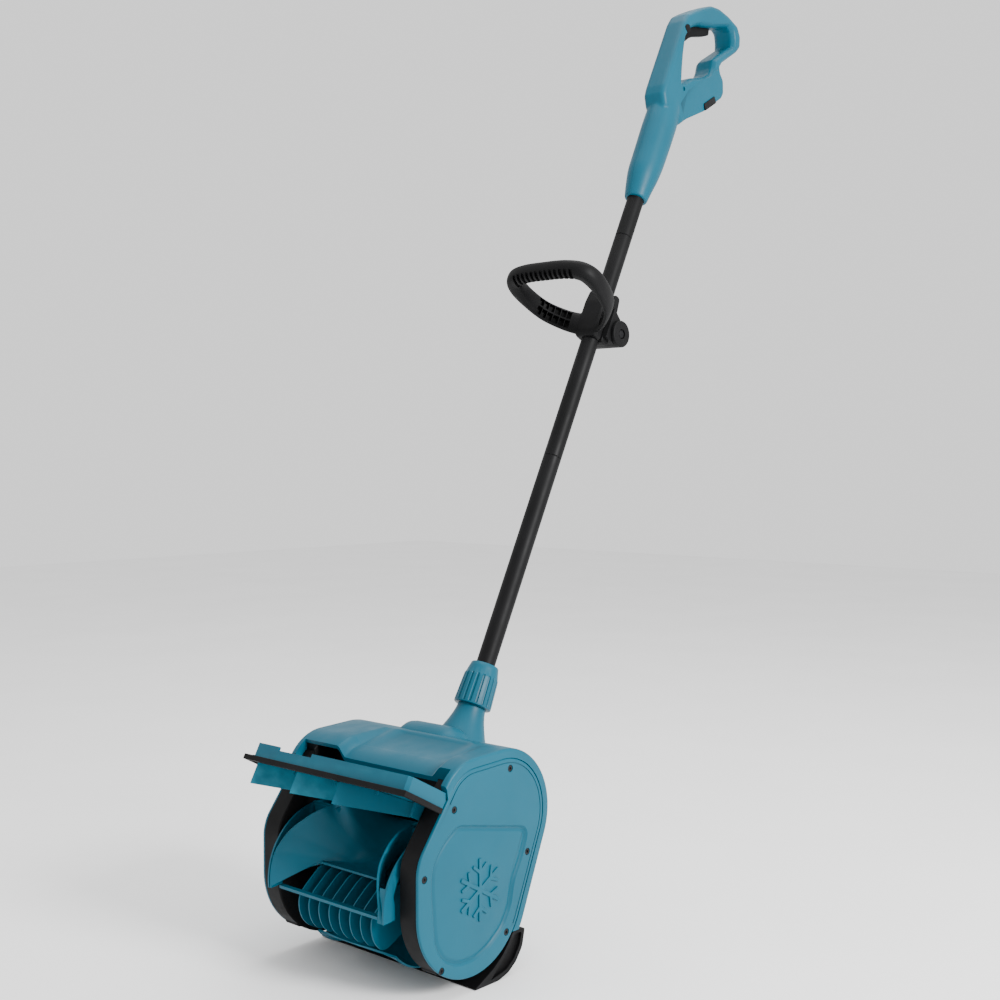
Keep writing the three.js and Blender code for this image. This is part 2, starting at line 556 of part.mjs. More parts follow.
// Shaft: three tubes with inner sleeves at the joints and the power cable inside.
const tube = (s0, s1) => cut(rod(TUBE_R, s0, s1), rod(TUBE_BORE, s0 - 1, s1 + 1));
node("lower_tube", tube(-75, JOINT_S[0] - 0.2), TUBE_BLACK);
node("middle_tube", tube(JOINT_S[0] + 0.2, JOINT_S[1] - 0.2), TUBE_BLACK);
node("upper_tube", tube(JOINT_S[1] + 0.2, 800), TUBE_BLACK);
JOINT_S.forEach((s, i) => node(`joint_sleeve_${i + 1}`, cut(rod(TUBE_BORE - 0.3, s - 38, s + 38),
  rod(TUBE_BORE - 2.5, s - 40, s + 40)), STEEL));
node("power_cable", rod(3.5, -120, 830, 10), RUBBER);

// ---------- fore grip ----------
const shaftSection = new THREE.Matrix4().makeBasis(
  new THREE.Vector3(0, 0, 1), new THREE.Vector3(0, -1, 0), new THREE.Vector3(1, 0, 0)).premultiply(shaftFrame);

// A flat outline in (s along the shaft, n out to the front), extruded along X with an optional rounded edge.
function slabOnShaft(points, x0, x1, bevel = 0, segments = 2) {
  const geometry = new THREE.ExtrudeGeometry(shapeOf(points), {
    depth: x1 - x0 - 2 * bevel,
    steps: 1,
    bevelEnabled: bevel > 0,
    bevelSize: bevel,
    bevelThickness: bevel,
    bevelOffset: -bevel,
    bevelSegments: segments,
  });
  return solid(geometry.translate(0, 0, x0 + bevel).applyMatrix4(shaftSection));
}
const shaftPoint = (x, s, n) => new THREE.Vector3(x, -n, s).applyMatrix4(shaftFrame).toArray();

const LOOP_TILT = 0.103;                     // the loop rises towards its grip bar
const LOOP_S = 509;                          // where the loop's plane meets the shaft
const LOOP_HALF = [[16, 12], [36, 24], [57, 48], [66, 78], [67, 104], [58, 121], [34, 128], [0, 129]];

// Half thickness across the strap and half height along the shaft, arm first and grip bar last.
const LOOP_SECTION = [[5, 17], [5, 16], [6, 15], [8, 14], [11, 13], [12, 12], [12, 12], [12, 12]];

function gripLoop() {
  const half = LOOP_HALF.map(([x, v], i) => ({ x, v, section: LOOP_SECTION[i] }));
  const mirrored = half.slice(0, -1).reverse().map((p) => ({ ...p, x: -p.x }));
  const path = [...half, ...mirrored];
  const rings = path.map((p, i) => {
    const before = path[Math.max(0, i - 1)];
    const after = path[Math.min(path.length - 1, i + 1)];
    const along = new THREE.Vector2(after.x - before.x, after.v - before.v).normalize();
    return Array.from({ length: 14 }, (_, k) => {
      const angle = (k / 14) * 2 * Math.PI;
      const across = p.section[0] * Math.cos(angle);
      const x = p.x - along.y * across;
      const v = p.v + along.x * across;
      return shaftPoint(x, LOOP_S + v * LOOP_TILT + p.section[1] * Math.sin(angle), v);
    });
  });
  return loft(rings);
}

const BOSS = { s: 514, n: -27, r: 19 };      // clamp boss behind the shaft, axis along X
const clampBore = rod(TUBE_R + 0.3, 400, 700);
const saddle = slabOnShaft([[489, -2], [489, 15], [496, 18], [545, 18], [566, 14.5], [566, -2]], -18, 18, 4);
node("foregrip_loop", cut(join(gripLoop(), saddle), clampBore, slabOnShaft([[400, -2], [400, -60], [640, -60],
  [640, -2]], -60, 60)), BLACK);
const clampBack = join(slabOnShaft([[489, -2.6], [566, -2.6], [566, -14.5], [545, -18], [489, -18]], -18, 18, 3),
  slabOnShaft(disc(BOSS.s, BOSS.n, BOSS.r, 24), -20, 30, 2, 1));
const boltWay = join(slabOnShaft(disc(BOSS.s, BOSS.n, 3.3, 12), -60, 60),
  slabOnShaft(disc(BOSS.s, BOSS.n, 7, 16), 25, 60));
node("foregrip_clamp", cut(clampBack, clampBore, boltWay), BLACK);
node("clamp_bolt", join(slabOnShaft(disc(BOSS.s, BOSS.n, 3, 12), -34, 26), slabOnShaft(disc(BOSS.s, BOSS.n, 6, 6),
  25.4, 29)), DARK_STEEL);
const wings = solid(new THREE.BoxGeometry(12, 44, 7).translate(-31.5, 0, 0)
  .rotateX(0.9).translate(0, -BOSS.n, BOSS.s).applyMatrix4(shaftFrame));
node("wing_knob", cut(join(slabOnShaft(disc(BOSS.s, BOSS.n, 11, 20), -38, -22.5, 1), wings),
  slabOnShaft(disc(BOSS.s, BOSS.n, 3.3, 12), -60, 0)), BLACK);

// ---------- handle ----------
const HANDLE_HALF = 20;                      // half width of the handle's flat sides
const HANDLE_WALL = 3;
const HANDLE_OUTLINE = [[878, 22], [893, 35], [906, 37], [1026, 37], [1042, 34], [1056, 24], [1078, 6],
  [1096, -12], [1106, -30], [1113, -56], [1116, -84], [1106, -99], [1090, -106], [1078, -102], [1036, -76],
  [1024, -73], [1019, -78], [1015, -92], [1000, -104], [990, -103], [942, -73], [918, -53], [900, -38], [878, -24]];
const HANDLE_WINDOW = [[939, 1], [956, 8], [978, 16], [1004, 23], [1028, 17], [1046, 2], [1058, -16],
  [1070, -32], [1088, -52], [1098, -65], [1097, -75], [1088, -82], [1078, -86], [1036, -59], [1026, -54],
  [1012, -57], [1000, -56], [986, -46], [962, -18], [943, -4]];
// Barrel stations: distance along the shaft, centre towards the front, half depth and half width.
const BARREL = [[728, 0, 17, 17], [748, 1, 20.5, 20], [772, 1, 24.5, 23], [800, 0, 26, 24], [858, 0, 27.5, 24],
  [884, 0, 27, 22], [905, 0, 22, 17]];

// Moves each edge of an outline inwards by a distance (outwards if negative).
function inset(points, distance) {
  const area = points.reduce((sum, [a, b], i) => {
    const [c, d] = points[(i + 1) % points.length];
    return sum + a * d - b * c;
  }, 0);
  const sign = Math.sign(area) * distance;
  return points.map(([a, b], i) => {
    const [pa, pb] = points[(i - 1 + points.length) % points.length];
    const [na, nb] = points[(i + 1) % points.length];
    const before = new THREE.Vector2(a - pa, b - pb).normalize();
    const after = new THREE.Vector2(na - a, nb - b).normalize();
    const bisector = new THREE.Vector2(-(before.y + after.y), before.x + after.x).normalize();
    const reach = sign / Math.max(0.5, -bisector.x * before.y + bisector.y * before.x);
    return [a + bisector.x * reach, b + bisector.y * reach];
  });
}

function barrel(shrink) {
  return loft(BARREL.map(([s, n, h, w]) => Array.from({ length: 24 }, (_, k) => {
    const angle = (k / 24) * 2 * Math.PI;
    return shaftPoint((w - shrink) * Math.cos(angle), s, n + (h - shrink) * Math.sin(angle));
  })));
}

const TRIGGER = [[972, 17], [988, 15], [1008, 9], [1024, -2], [1038, -16], [1054, -34], [1066, -40], [1073, -34],
  [1066, -18], [1050, 6], [1030, 22], [1004, 28], [978, 24]];
const TRIGGER_PIVOT = { s: 1064, n: -32 };

function turnedOutline(points, pivot, degrees) {
  const a = THREE.MathUtils.degToRad(degrees);
  return points.map(([s, n]) => [pivot.s + (s - pivot.s) * Math.cos(a) - (n - pivot.n) * Math.sin(a),
    pivot.n + (s - pivot.s) * Math.sin(a) + (n - pivot.n) * Math.cos(a)]);
}

const TERMINAL = [[950, -66], [978, -84], [972, -92], [944, -74]];
const BUTTON = { s: 1018, n: 27, r: 6 };

function handleBody() {
  const block = slabOnShaft(HANDLE_OUTLINE, -HANDLE_HALF, HANDLE_HALF, 6, 2);
  const window = slabOnShaft(HANDLE_WINDOW, -60, 60);
  const outer = cut(join(block, barrel(0)), window);
  const pockets = [[747, 766], [770, 792], [796, 920]].map(([s0, s1]) => slabOnShaft(
    [[s0, -60], [s1, -60], [s1, 60], [s0, 60]], -60, 60));
  const barrelRoom = barrel(HANDLE_WALL).intersect(join(...pockets));
  const headRoom = slabOnShaft(inset(HANDLE_OUTLINE, HANDLE_WALL), HANDLE_WALL - HANDLE_HALF,
    HANDLE_HALF - HANDLE_WALL, 3, 1);
  const room = cut(join(barrelRoom, headRoom), slabOnShaft(inset(HANDLE_WINDOW, -HANDLE_WALL), -60, 60));
  const slots = [0, -3.5, -7].map((turn) => slabOnShaft(inset(turnedOutline(TRIGGER, TRIGGER_PIVOT, turn), -0.8),
    -7, 7));
  return cut(outer, room, rod(TUBE_R + 0.4, 700, 830), ...slots,
    slabOnShaft(inset(TERMINAL, -0.5), -15.5, 15.5), slabOnShaft(disc(BUTTON.s, BUTTON.n, BUTTON.r + 0.5, 20), 0, 40));
}

const handle = handleBody();
const SPLIT = 0.15;
node("handle_left_shell", keepLargest(handle.intersect(boxAt(-60, -SPLIT, 300, 900, 800, 1500))), TEAL);
node("handle_right_shell", keepLargest(handle.intersect(boxAt(SPLIT, 60, 300, 900, 800, 1500))), TEAL);
node("trigger", slabOnShaft(TRIGGER, -6, 6, 1.2, 1), BLACK);
node("lock_off_button", slabOnShaft(disc(BUTTON.s, BUTTON.n, BUTTON.r, 20), 10.5, 20.4, 0.8, 1), BLACK);
node("battery_terminal", slabOnShaft(TERMINAL, -15, 15), BLACK);
node("power_switch", slabOnShaft([[1075, -15], [1086, -26], [1092, -20], [1081, -9]], -7, 7), BLACK);

export default root;
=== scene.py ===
"""Looks of the cordless power snow shovel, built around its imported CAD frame.

Shapes are worked out in millimetres and turned into metres when a mesh is made.
The object's frame: +Z up, -Y to the front, +X to the right-hand side cover.
"""

import json
import math

import bmesh
import bpy
from mathutils import Matrix, Vector


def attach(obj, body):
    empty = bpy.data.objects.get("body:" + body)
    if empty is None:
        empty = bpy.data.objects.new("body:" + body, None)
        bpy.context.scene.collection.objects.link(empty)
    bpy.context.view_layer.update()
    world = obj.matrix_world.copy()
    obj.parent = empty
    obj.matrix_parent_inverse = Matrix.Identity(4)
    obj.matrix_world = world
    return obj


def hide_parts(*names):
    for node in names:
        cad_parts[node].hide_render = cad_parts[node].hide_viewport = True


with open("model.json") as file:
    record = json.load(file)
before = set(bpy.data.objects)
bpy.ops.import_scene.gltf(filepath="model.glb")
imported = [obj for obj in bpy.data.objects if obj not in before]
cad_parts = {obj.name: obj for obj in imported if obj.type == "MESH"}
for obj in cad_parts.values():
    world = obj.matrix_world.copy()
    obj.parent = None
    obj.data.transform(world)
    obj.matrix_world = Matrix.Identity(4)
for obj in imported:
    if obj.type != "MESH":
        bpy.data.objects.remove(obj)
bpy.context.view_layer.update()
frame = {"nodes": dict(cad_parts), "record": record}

MM = 0.001

# ---------- driving dimensions (mm) ----------
HEAD_HALF = 136          # half width of the head over its side covers
FRAME_INNER = 106        # inner face of a side frame
FRAME_OUTER = 131.5      # outer lip of a side frame
COVER_INNER = 132        # back face of a side cover
GAP = 0.4                # clearance between touching pieces
RIM = 11.5               # how far the hood's rims stand outside the covers
HOOD_WALL = 3.5          # wall of the hood shell
AXLE_Y, AXLE_Z = -40, 106
ROTOR_R = 94             # rotor envelope radius
TUBE_R = 12.5            # shaft tube radius
TUBE_BORE = 11           # shaft tube bore radius
SHAFT_TOP = (0, 145, 346)
LEAN = math.radians(26.81)
JOINT_S = (303.6, 662)   # shaft joints, along the shaft from SHAFT_TOP
MOTOR_Y, MOTOR_Z = 44, 216
SIDE_CIRCLES = ((-26, 106, 88), (-64, 150, 50), (-20, 212, 48), (30, 192, 70))   # (y, z, r)
SCREWS = ((40, 249), (-56, 218), (71, 143), (-104, 149), (33, 55), (-77, 39))
SIDES = ((-1, "left"), (1, "right"))


# ---------- numbers ----------
def lerp(a, b, t):
    return a + (b - a) * t


def smooth(edge0, edge1, value):
    """0 before edge0, 1 after edge1, and an S-shaped ramp between them."""
    t = min(1, max(0, (value - edge0) / (edge1 - edge0)))
    return t * t * (3 - 2 * t)


def table_value(table, key):
    """Linear look-up in a table of (key, value) pairs with rising keys."""
    for (k0, v0), (k1, v1) in zip(table, table[1:]):
        if key <= k1:
            return lerp(v0, v1, max(0, (key - k0) / (k1 - k0)))
    return table[-1][1]


def spline(points, t):
    """Catmull-Rom curve through points, t from 0 to 1."""
    place = t * (len(points) - 1)
    i = min(int(place), len(points) - 2)
    u = place - i
    p = [Vector(points[max(0, min(len(points) - 1, i + k))]) for k in (-1, 0, 1, 2)]
    return 0.5 * (2 * p[1] + (p[2] - p[0]) * u + (2 * p[0] - 5 * p[1] + 4 * p[2] - p[3]) * u * u
                  + (3 * p[1] - p[0] - 3 * p[2] + p[3]) * u ** 3)


def disc(a, b, r, sides=48):
    return [(a + r * math.cos(2 * math.pi * i / sides), b + r * math.sin(2 * math.pi * i / sides))
            for i in range(sides)]


def fillet(points, radius, steps=6):
    """Rounds every corner of a closed outline by an arc that starts up to `radius` from the corner."""
    rounded = []
    count = len(points)
    for i in range(count):
        p = Vector(points[i])
        before = Vector(points[i - 1]) - p
        after = Vector(points[(i + 1) % count]) - p
        start = p + before.normalized() * min(radius, before.length * 0.48)
        end = p + after.normalized() * min(radius, after.length * 0.48)
        for k in range(steps + 1):
            t = k / steps
            rounded.append(tuple(start * (1 - t) ** 2 + p * 2 * t * (1 - t) + end * t * t))
    return rounded


def inset(points, distance):
    """Moves each edge of a closed outline inwards (outwards if negative)."""
    area = sum(a * d - b * c for (a, b), (c, d) in zip(points, points[1:] + points[:1]))
    sign = math.copysign(1, area) * distance
    moved = []
    for i, (a, b) in enumerate(points):
        before = (Vector((a, b)) - Vector(points[i - 1])).normalized()
        after = (Vector(points[(i + 1) % len(points)]) - Vector((a, b))).normalized()
        bisector = Vector((-(before.y + after.y), before.x + after.x)).normalized()
        reach = sign / max(0.5, -bisector.x * before.y + bisector.y * before.x)
        moved.append((a + bisector.x * reach, b + bisector.y * reach))
    return moved


def side_outline(offset, steps=160):
    """The side cover's outline grown by an offset, one point for each direction."""
    points = []
    for i in range(steps):
        angle = 2 * math.pi * i / steps
        ny, nz = math.cos(angle), math.sin(angle)
        y, z, r = max(SIDE_CIRCLES, key=lambda c: c[0] * ny + c[1] * nz + c[2])
        points.append((y + (r + offset) * ny, z + (r + offset) * nz))
    return points


# ---------- frames ----------
def shaft_point(x, s, n):
    """A place s along the shaft and n in front of its axis."""
    return (x, SHAFT_TOP[1] + s * math.sin(LEAN) - n * math.cos(LEAN),
            SHAFT_TOP[2] + s * math.cos(LEAN) + n * math.sin(LEAN))


DEFLECTOR_TILT = math.radians(28)
DEFLECTOR_EDGE = (-130, 254)


def plate_point(x, d, h):
    """A place on the deflector: d back from its front edge and h above its top face."""
    c, s = math.cos(DEFLECTOR_TILT), math.sin(DEFLECTOR_TILT)
    return (x, DEFLECTOR_EDGE[0] + d * c + h * s, DEFLECTOR_EDGE[1] - d * s + h * c)


def around(degrees, r):
    a = math.radians(degrees)
    return Vector((r * math.cos(a), r * math.sin(a)))


def side_point(degrees, r):
    """(y, z) at an angle above forward, round the axle."""
    v = around(degrees, r)
    return (AXLE_Y - v.x, AXLE_Z + v.y)


# ---------- meshes ----------
def mesh_object(name, vertices, faces):
    """A mesh object from millimetre vertices, merged, with its faces pointing out."""
    mesh = bpy.data.meshes.new(name)
    bm = bmesh.new()
    made = [bm.verts.new(Vector(v) * MM) for v in vertices]
    for face in faces:
        bm.faces.new([made[i] for i in face])
    bmesh.ops.remove_doubles(bm, verts=bm.verts, dist=1e-7)
    bmesh.ops.recalc_face_normals(bm, faces=bm.faces)
    bm.to_mesh(mesh)
    bm.free()
    obj = bpy.data.objects.new(name, mesh)
    bpy.context.collection.objects.link(obj)
    return obj


def loft(name, rings):
    """A closed body through rings of points, capped by its first and last ring."""
    count = len(rings[0])
    vertices = [p for ring in rings for p in ring]
    faces = []
    for i in range(len(rings) - 1):
        for j in range(count):
            a, b = i * count + j, i * count + (j + 1) % count
            faces.append((a, b, b + count, a + count))
    faces.append(tuple(range(count)))
    faces.append(tuple(range((len(rings) - 1) * count, len(rings) * count)))
    return mesh_object(name, vertices, faces)


def slab_x(name, outline, x0, x1):
    return loft(name, [[(x, y, z) for y, z in outline] for x in (x0, x1)])


def rounded_slab(name, outline, x0, x1, radius, place=lambda x, a, b: (x, a, b), steps=4):
    """A slab along X whose two faces meet its side in a rounded edge."""
    edge = []
    for k in range(steps + 1):
        turn = math.pi / 2 * k / steps
        edge.append((radius * (1 - math.cos(turn)), radius * (1 - math.sin(turn))))
    stations = [(x0 + depth, shrink) for depth, shrink in edge]
    stations += [(x1 - depth, shrink) for depth, shrink in reversed(edge)]
    return loft(name, [[place(x, a, b) for a, b in inset(outline, shrink)] for x, shrink in stations])


def box(name, x0, x1, y0, y1, z0, z1):
    return slab_x(name, [(y0, z0), (y1, z0), (y1, z1), (y0, z1)], x0, x1)


def bar_x(name, r, x0, x1, y, z, sides=48):
    return slab_x(name, disc(y, z, r, sides), x0, x1)


def on_shaft(name, profile, sides=72):
    """A body turned about the shaft from (radius, s) pairs; radius 0 closes an end."""
    rings = []
    for r, s in profile:
        rings.append([shaft_point(max(r, 0.01) * math.cos(2 * math.pi * k / sides), s,
                                  max(r, 0.01) * math.sin(2 * math.pi * k / sides)) for k in range(sides)])
    return loft(name, rings)


def slab_on_shaft(name, outline, x0, x1):
    return loft(name, [[shaft_point(x, s, n) for s, n in outline] for x in (x0, x1)])


def on_plate(name, outline, h0, h1):
    return loft(name, [[plate_point(x, d, h) for x, d in outline] for h in (h0, h1)])


def mirrored(obj, name):
    """A copy of a body on the other side of the head."""
    twin = obj.copy()
    twin.data = obj.data.copy()
    twin.name = name
    twin.data.transform(Matrix.Scale(-1, 4, (1, 0, 0)))
    twin.data.flip_normals()
    bpy.context.collection.objects.link(twin)
    return twin


def settle(obj):
    """Replaces the mesh by its evaluated one and drops the modifiers."""
    bpy.context.view_layer.update()
    mesh = bpy.data.meshes.new_from_object(obj.evaluated_get(bpy.context.evaluated_depsgraph_get()))
    obj.modifiers.clear()
    obj.data = mesh
    return obj


def boolean(obj, tools, operation):
    for tool in tools:
        modifier = obj.modifiers.new("boolean", "BOOLEAN")
        modifier.operation = operation
        modifier.solver = "EXACT"
        modifier.object = tool
    settle(obj)
    for tool in tools:
        bpy.data.objects.remove(tool)
    return obj


def cut(obj, *tools):
    return boolean(obj, tools, "DIFFERENCE")


def unite(obj, *tools):
    return boolean(obj, tools, "UNION")


def merged(name, pieces):
    """One object from several closed bodies that sit on or in each other."""
    bm = bmesh.new()
    for piece in pieces:
        bm.from_mesh(piece.data)
        bpy.data.objects.remove(piece)
    mesh = bpy.data.meshes.new(name)
    bm.to_mesh(mesh)
    bm.free()
    obj = bpy.data.objects.new(name, mesh)
    bpy.context.collection.objects.link(obj)
    return obj


def melt(obj, voxel, passes):
    """Blends a body's parts into one moulding: voxel remesh, then an even smoothing."""
    remesh = obj.modifiers.new("remesh", "REMESH")
    remesh.mode = "VOXEL"
    remesh.voxel_size = voxel * MM
    relax = obj.modifiers.new("relax", "SMOOTH")
    relax.factor = 0.5
    relax.iterations = passes
    return settle(obj)


def keep_largest(obj):
    """Drops the loose bits that cutting leaves behind."""
    bm = bmesh.new()
    bm.from_mesh(obj.data)
    left = set(bm.verts)
    islands = []
    while left:
        island, queue = set(), [left.pop()]
        while queue:
            vertex = queue.pop()
            island.add(vertex)
            for edge in vertex.link_edges:
                other = edge.other_vert(vertex)
                if other in left:
                    left.remove(other)
                    queue.append(other)
        islands.append(island)
    islands.sort(key=len)
    for island in islands[:-1]:
        bmesh.ops.delete(bm, geom=list(island), context="VERTS")
    bm.to_mesh(obj.data)
    bm.free()


def bevel(obj, width, segments=3, angle=40):
    modifier = obj.modifiers.new("bevel", "BEVEL")
    modifier.width = width * MM
    modifier.segments = segments
    modifier.limit_method = "ANGLE"
    modifier.angle_limit = math.radians(angle)
    modifier.use_clamp_overlap = True
    modifier.harden_normals = True


def shade(obj, angle=35):
    obj.data.shade_smooth()
    obj.data.set_sharp_from_angle(angle=math.radians(angle))


# ---------- materials ----------
def graph(name):
    material = bpy.data.materials.new(name)
    material.use_nodes = True
    nodes, links = material.node_tree.nodes, material.node_tree.links
    return material, nodes, links, nodes["Principled BSDF"]


def noise(nodes, links, scale, detail=4, stretch=(1, 1, 1)):
    coordinates = nodes.new("ShaderNodeTexCoord")
    mapping = nodes.new("ShaderNodeMapping")
    mapping.inputs["Scale"].default_value = stretch
    texture = nodes.new("ShaderNodeTexNoise")
    texture.inputs["Scale"].default_value = scale
    texture.inputs["Detail"].default_value = detail
    links.new(coordinates.outputs["Object"], mapping.inputs["Vector"])
    links.new(mapping.outputs["Vector"], texture.inputs["Vector"])
    return texture.outputs["Fac"]


def ramp(nodes, links, value, stops):
    node = nodes.new("ShaderNodeValToRGB")
    elements = node.color_ramp.elements
    for element, (place, color) in zip(elements, (stops[0], stops[-1])):
        element.position = place
        element.color = (*color, 1)
    for place, color in stops[1:-1]:
        elements.new(place).color = (*color, 1)
    links.new(value, node.inputs["Fac"])
    return node.outputs["Color"]


def spread(nodes, links, value, low, high):
    node = nodes.new("ShaderNodeMapRange")
    node.inputs["From Min"].default_value = 0.3
    node.inputs["From Max"].default_value = 0.7
    node.inputs["To Min"].default_value = low
    node.inputs["To Max"].default_value = high
    links.new(value, node.inputs["Value"])
    return node.outputs["Result"]


def mix(nodes, links, factor, first, second):
    node = nodes.new("ShaderNodeMix")
    node.data_type = "RGBA"
    links.new(factor, node.inputs["Factor"])
    links.new(first, node.inputs["A"])
    links.new(second, node.inputs["B"])
    return node.outputs["Result"]


def bump(nodes, links, shader, height, strength, distance):
    node = nodes.new("ShaderNodeBump")
    node.inputs["Strength"].default_value = strength
    node.inputs["Distance"].default_value = distance * MM
    links.new(height, node.inputs["Height"])
    links.new(node.outputs["Normal"], shader.inputs["Normal"])


def worn_edges(nodes, links, low, high):
    """A mask that rises on convex edges, where handling polishes a moulding."""
    geometry = nodes.new("ShaderNodeNewGeometry")
    return ramp(nodes, links, geometry.outputs["Pointiness"], [(low, (0, 0, 0)), (high, (1, 1, 1))])


def painted_hollow_shade(nodes, links, low, high):
    """A mask that rises in concave corners, where painted shade darkens the colour."""
    geometry = nodes.new("ShaderNodeNewGeometry")
    return ramp(nodes, links, geometry.outputs["Pointiness"], [(low, (1, 1, 1)), (high, (0, 0, 0))])


def moulded(name, dark, light, edge, roughness, grain, specular):
    """Injection-moulded plastic: cloudy colour, pale handled edges, painted shade in the hollows and a fine
    grain.
    """
    material, nodes, links, shader = graph(name)
    clouds = noise(nodes, links, 9, 6)
    body = ramp(nodes, links, clouds, [(0.3, dark), (0.7, light)])
    edges = ramp(nodes, links, noise(nodes, links, 60, 3), [(0.3, edge), (0.8, light)])
    color = mix(nodes, links, worn_edges(nodes, links, 0.56, 0.72), body, edges)
    # painted shade: the colour darkens in concave hollows, where shade would fall
    hollow_shade_stops = [(0.3, [c * 0.35 for c in dark]), (0.7, [c * 0.5 for c in dark])]
    hollow_shade = ramp(nodes, links, noise(nodes, links, 30, 4), hollow_shade_stops)
    color = mix(nodes, links, painted_hollow_shade(nodes, links, 0.40, 0.485), color, hollow_shade)
    links.new(color, shader.inputs["Base Color"])
    links.new(spread(nodes, links, noise(nodes, links, 45, 5), *roughness), shader.inputs["Roughness"])
    bump(nodes, links, shader, noise(nodes, links, grain, 3), 0.12, 0.15)
    shader.inputs["Specular IOR Level"].default_value = specular
    return material


def metal(name, dark, light, roughness, stretch):
    """Turned or drawn metal: streaks along the work direction and uneven polish."""
    material, nodes, links, shader = graph(name)
    streaks = noise(nodes, links, 400, 4, stretch)
    links.new(ramp(nodes, links, streaks, [(0.3, dark), (0.7, light)]), shader.inputs["Base Color"])
    links.new(spread(nodes, links, noise(nodes, links, 120, 4, stretch), *roughness),
              shader.inputs["Roughness"])
    bump(nodes, links, shader, streaks, 0.15, 0.05)
    shader.inputs["Metallic"].default_value = 1
    return material


def powder_coat(name, dark, light, roughness):
    """Satin powder coat on a steel tube: orange-peel bump and faint rubbed patches."""
    material, nodes, links, shader = graph(name)
    links.new(ramp(nodes, links, noise(nodes, links, 14, 6), [(0.35, dark), (0.75, light)]),
              shader.inputs["Base Color"])
    links.new(spread(nodes, links, noise(nodes, links, 30, 5), *roughness), shader.inputs["Roughness"])
    bump(nodes, links, shader, noise(nodes, links, 700, 2), 0.18, 0.1)
    shader.inputs["Specular IOR Level"].default_value = 0.12
    return material


MATERIALS = {
    "teal_plastic": moulded("teal_plastic", (0.001, 0.068, 0.108), (0.0015, 0.080, 0.126),
                            (0.010, 0.150, 0.215), (0.38, 0.50), 1500, 0.20),
    "black_plastic": moulded("black_plastic", (0.0025, 0.0025, 0.0028), (0.0050, 0.0050, 0.0054),
                             (0.012, 0.012, 0.013), (0.46, 0.60), 1100, 0.10),
    "black_paint": powder_coat("black_paint", (0.0025, 0.0025, 0.0028), (0.0050, 0.0050, 0.0055),
                               (0.46, 0.58)),
    "steel": metal("steel", (0.42, 0.43, 0.44), (0.62, 0.63, 0.64), (0.24, 0.40), (0.1, 1, 1)),
    "dark_steel": metal("dark_steel", (0.012, 0.012, 0.013), (0.035, 0.035, 0.038), (0.36, 0.52),
                        (1, 1, 1)),
    "rubber": moulded("rubber", (0.010, 0.010, 0.010), (0.020, 0.020, 0.020), (0.040, 0.040, 0.040),
                      (0.70, 0.85), 900, 0.2),
}
NODE_SLOTS = {part["node"]: part["material_slot"] for part in frame["record"]["subparts"]}


def body_holding(node):
    for body, members in frame["record"]["behaviour"]["bodies"].items():
        if node in members:
            return body
    raise KeyError(node)


def dress(obj, node, angle=35, slot=None):
    """Gives a piece its finish and rides it on its node's body."""
    slot = slot or NODE_SLOTS[node]
    obj.data.materials.clear()
    obj.data.materials.append(MATERIALS[slot])
    shade(obj, angle)
    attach(obj, body_holding(node))
    return obj


def stand_for(obj, node, angle=35):
    dress(obj, node, angle)
    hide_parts(node)
    return obj


# ---------- hood ----------
HOOD_FRONT_Y = -52       # front edge of the hood between the rims
RIM_FRONT = (-66, 222)   # where each rim starts at the front
RIM_INNER = 127          # inner side of the rims' front ends
BAND_LEFT = -60          # the hood's raised left band ends here
BAND_BACK_Y = 26         # the hood's raised back band starts here
HOOD_FOOT_Z = 52.5       # lower edge of the hood's back wall
HOOD_STEPS = 320
EDGE_ROUND = 3.5
VALLEY_SKIN = 1.2        # how far the lowered skin stands outside the covers
VALLEY_RIGHT = 103       # the lowered skin ends here, before the right rim
VALLEY_CORNER = 34       # round corners of the lowered skin
VALLEY_SLOPE = 8         # half width of the slope round it
BULGE_AXIS = (58, 250)   # (y, z) of the swelling over the motor
BULGE = ((-60, 12), (-58.5, 20), (-55, 26), (-50, 29), (-43, 30), (12, 30), (22, 29), (30, 26), (36, 21),
         (39.5, 13))     # (x, radius) along it
NECK = ((0, -132), (46, -132), (42.5, -121), (38, -111), (33, -101), (28.5, -91), (24.5, -81), (21.4, -72),
        (19.4, -64), (18.6, -58), (18.5, -50), (17.5, -49), (16.5, -48), (16.5, -9), (15.5, -8), (0, -8))
VENT_PITCH = 11


def band_lift(x, y):
    """0 on the hood's lowered skin and 1 on its raised bands, with rounded corners between them."""
    out_x = max(BAND_LEFT + VALLEY_CORNER - x, x - VALLEY_RIGHT + VALLEY_CORNER, 0)
    out_y = max(y - BAND_BACK_Y + VALLEY_CORNER, 0)
    return smooth(-VALLEY_SLOPE, VALLEY_SLOPE, math.hypot(out_x, out_y) - VALLEY_CORNER)


def hood_ring(x, sink=0):
    """One section of the hood, from the lowered skin up to the raised bands, with round outer edges."""
    over = max(0, abs(x) - (HEAD_HALF - EDGE_ROUND))
    drop = sink + EDGE_ROUND - math.sqrt(max(0, EDGE_ROUND ** 2 - over ** 2))
    skin = side_outline(VALLEY_SKIN - sink, HOOD_STEPS)
    band = side_outline(RIM - drop, HOOD_STEPS)
    ring = []
    for (ly, lz), (hy, hz) in zip(skin, band):
        lift = band_lift(x, ly)
        ring.append((x, lerp(ly, hy, lift), lerp(lz, hz, lift)))
    return ring


def slope_stations():
    return [lerp(BAND_LEFT - VALLEY_SLOPE, BAND_LEFT + VALLEY_CORNER, k / 24) for k in range(25)]


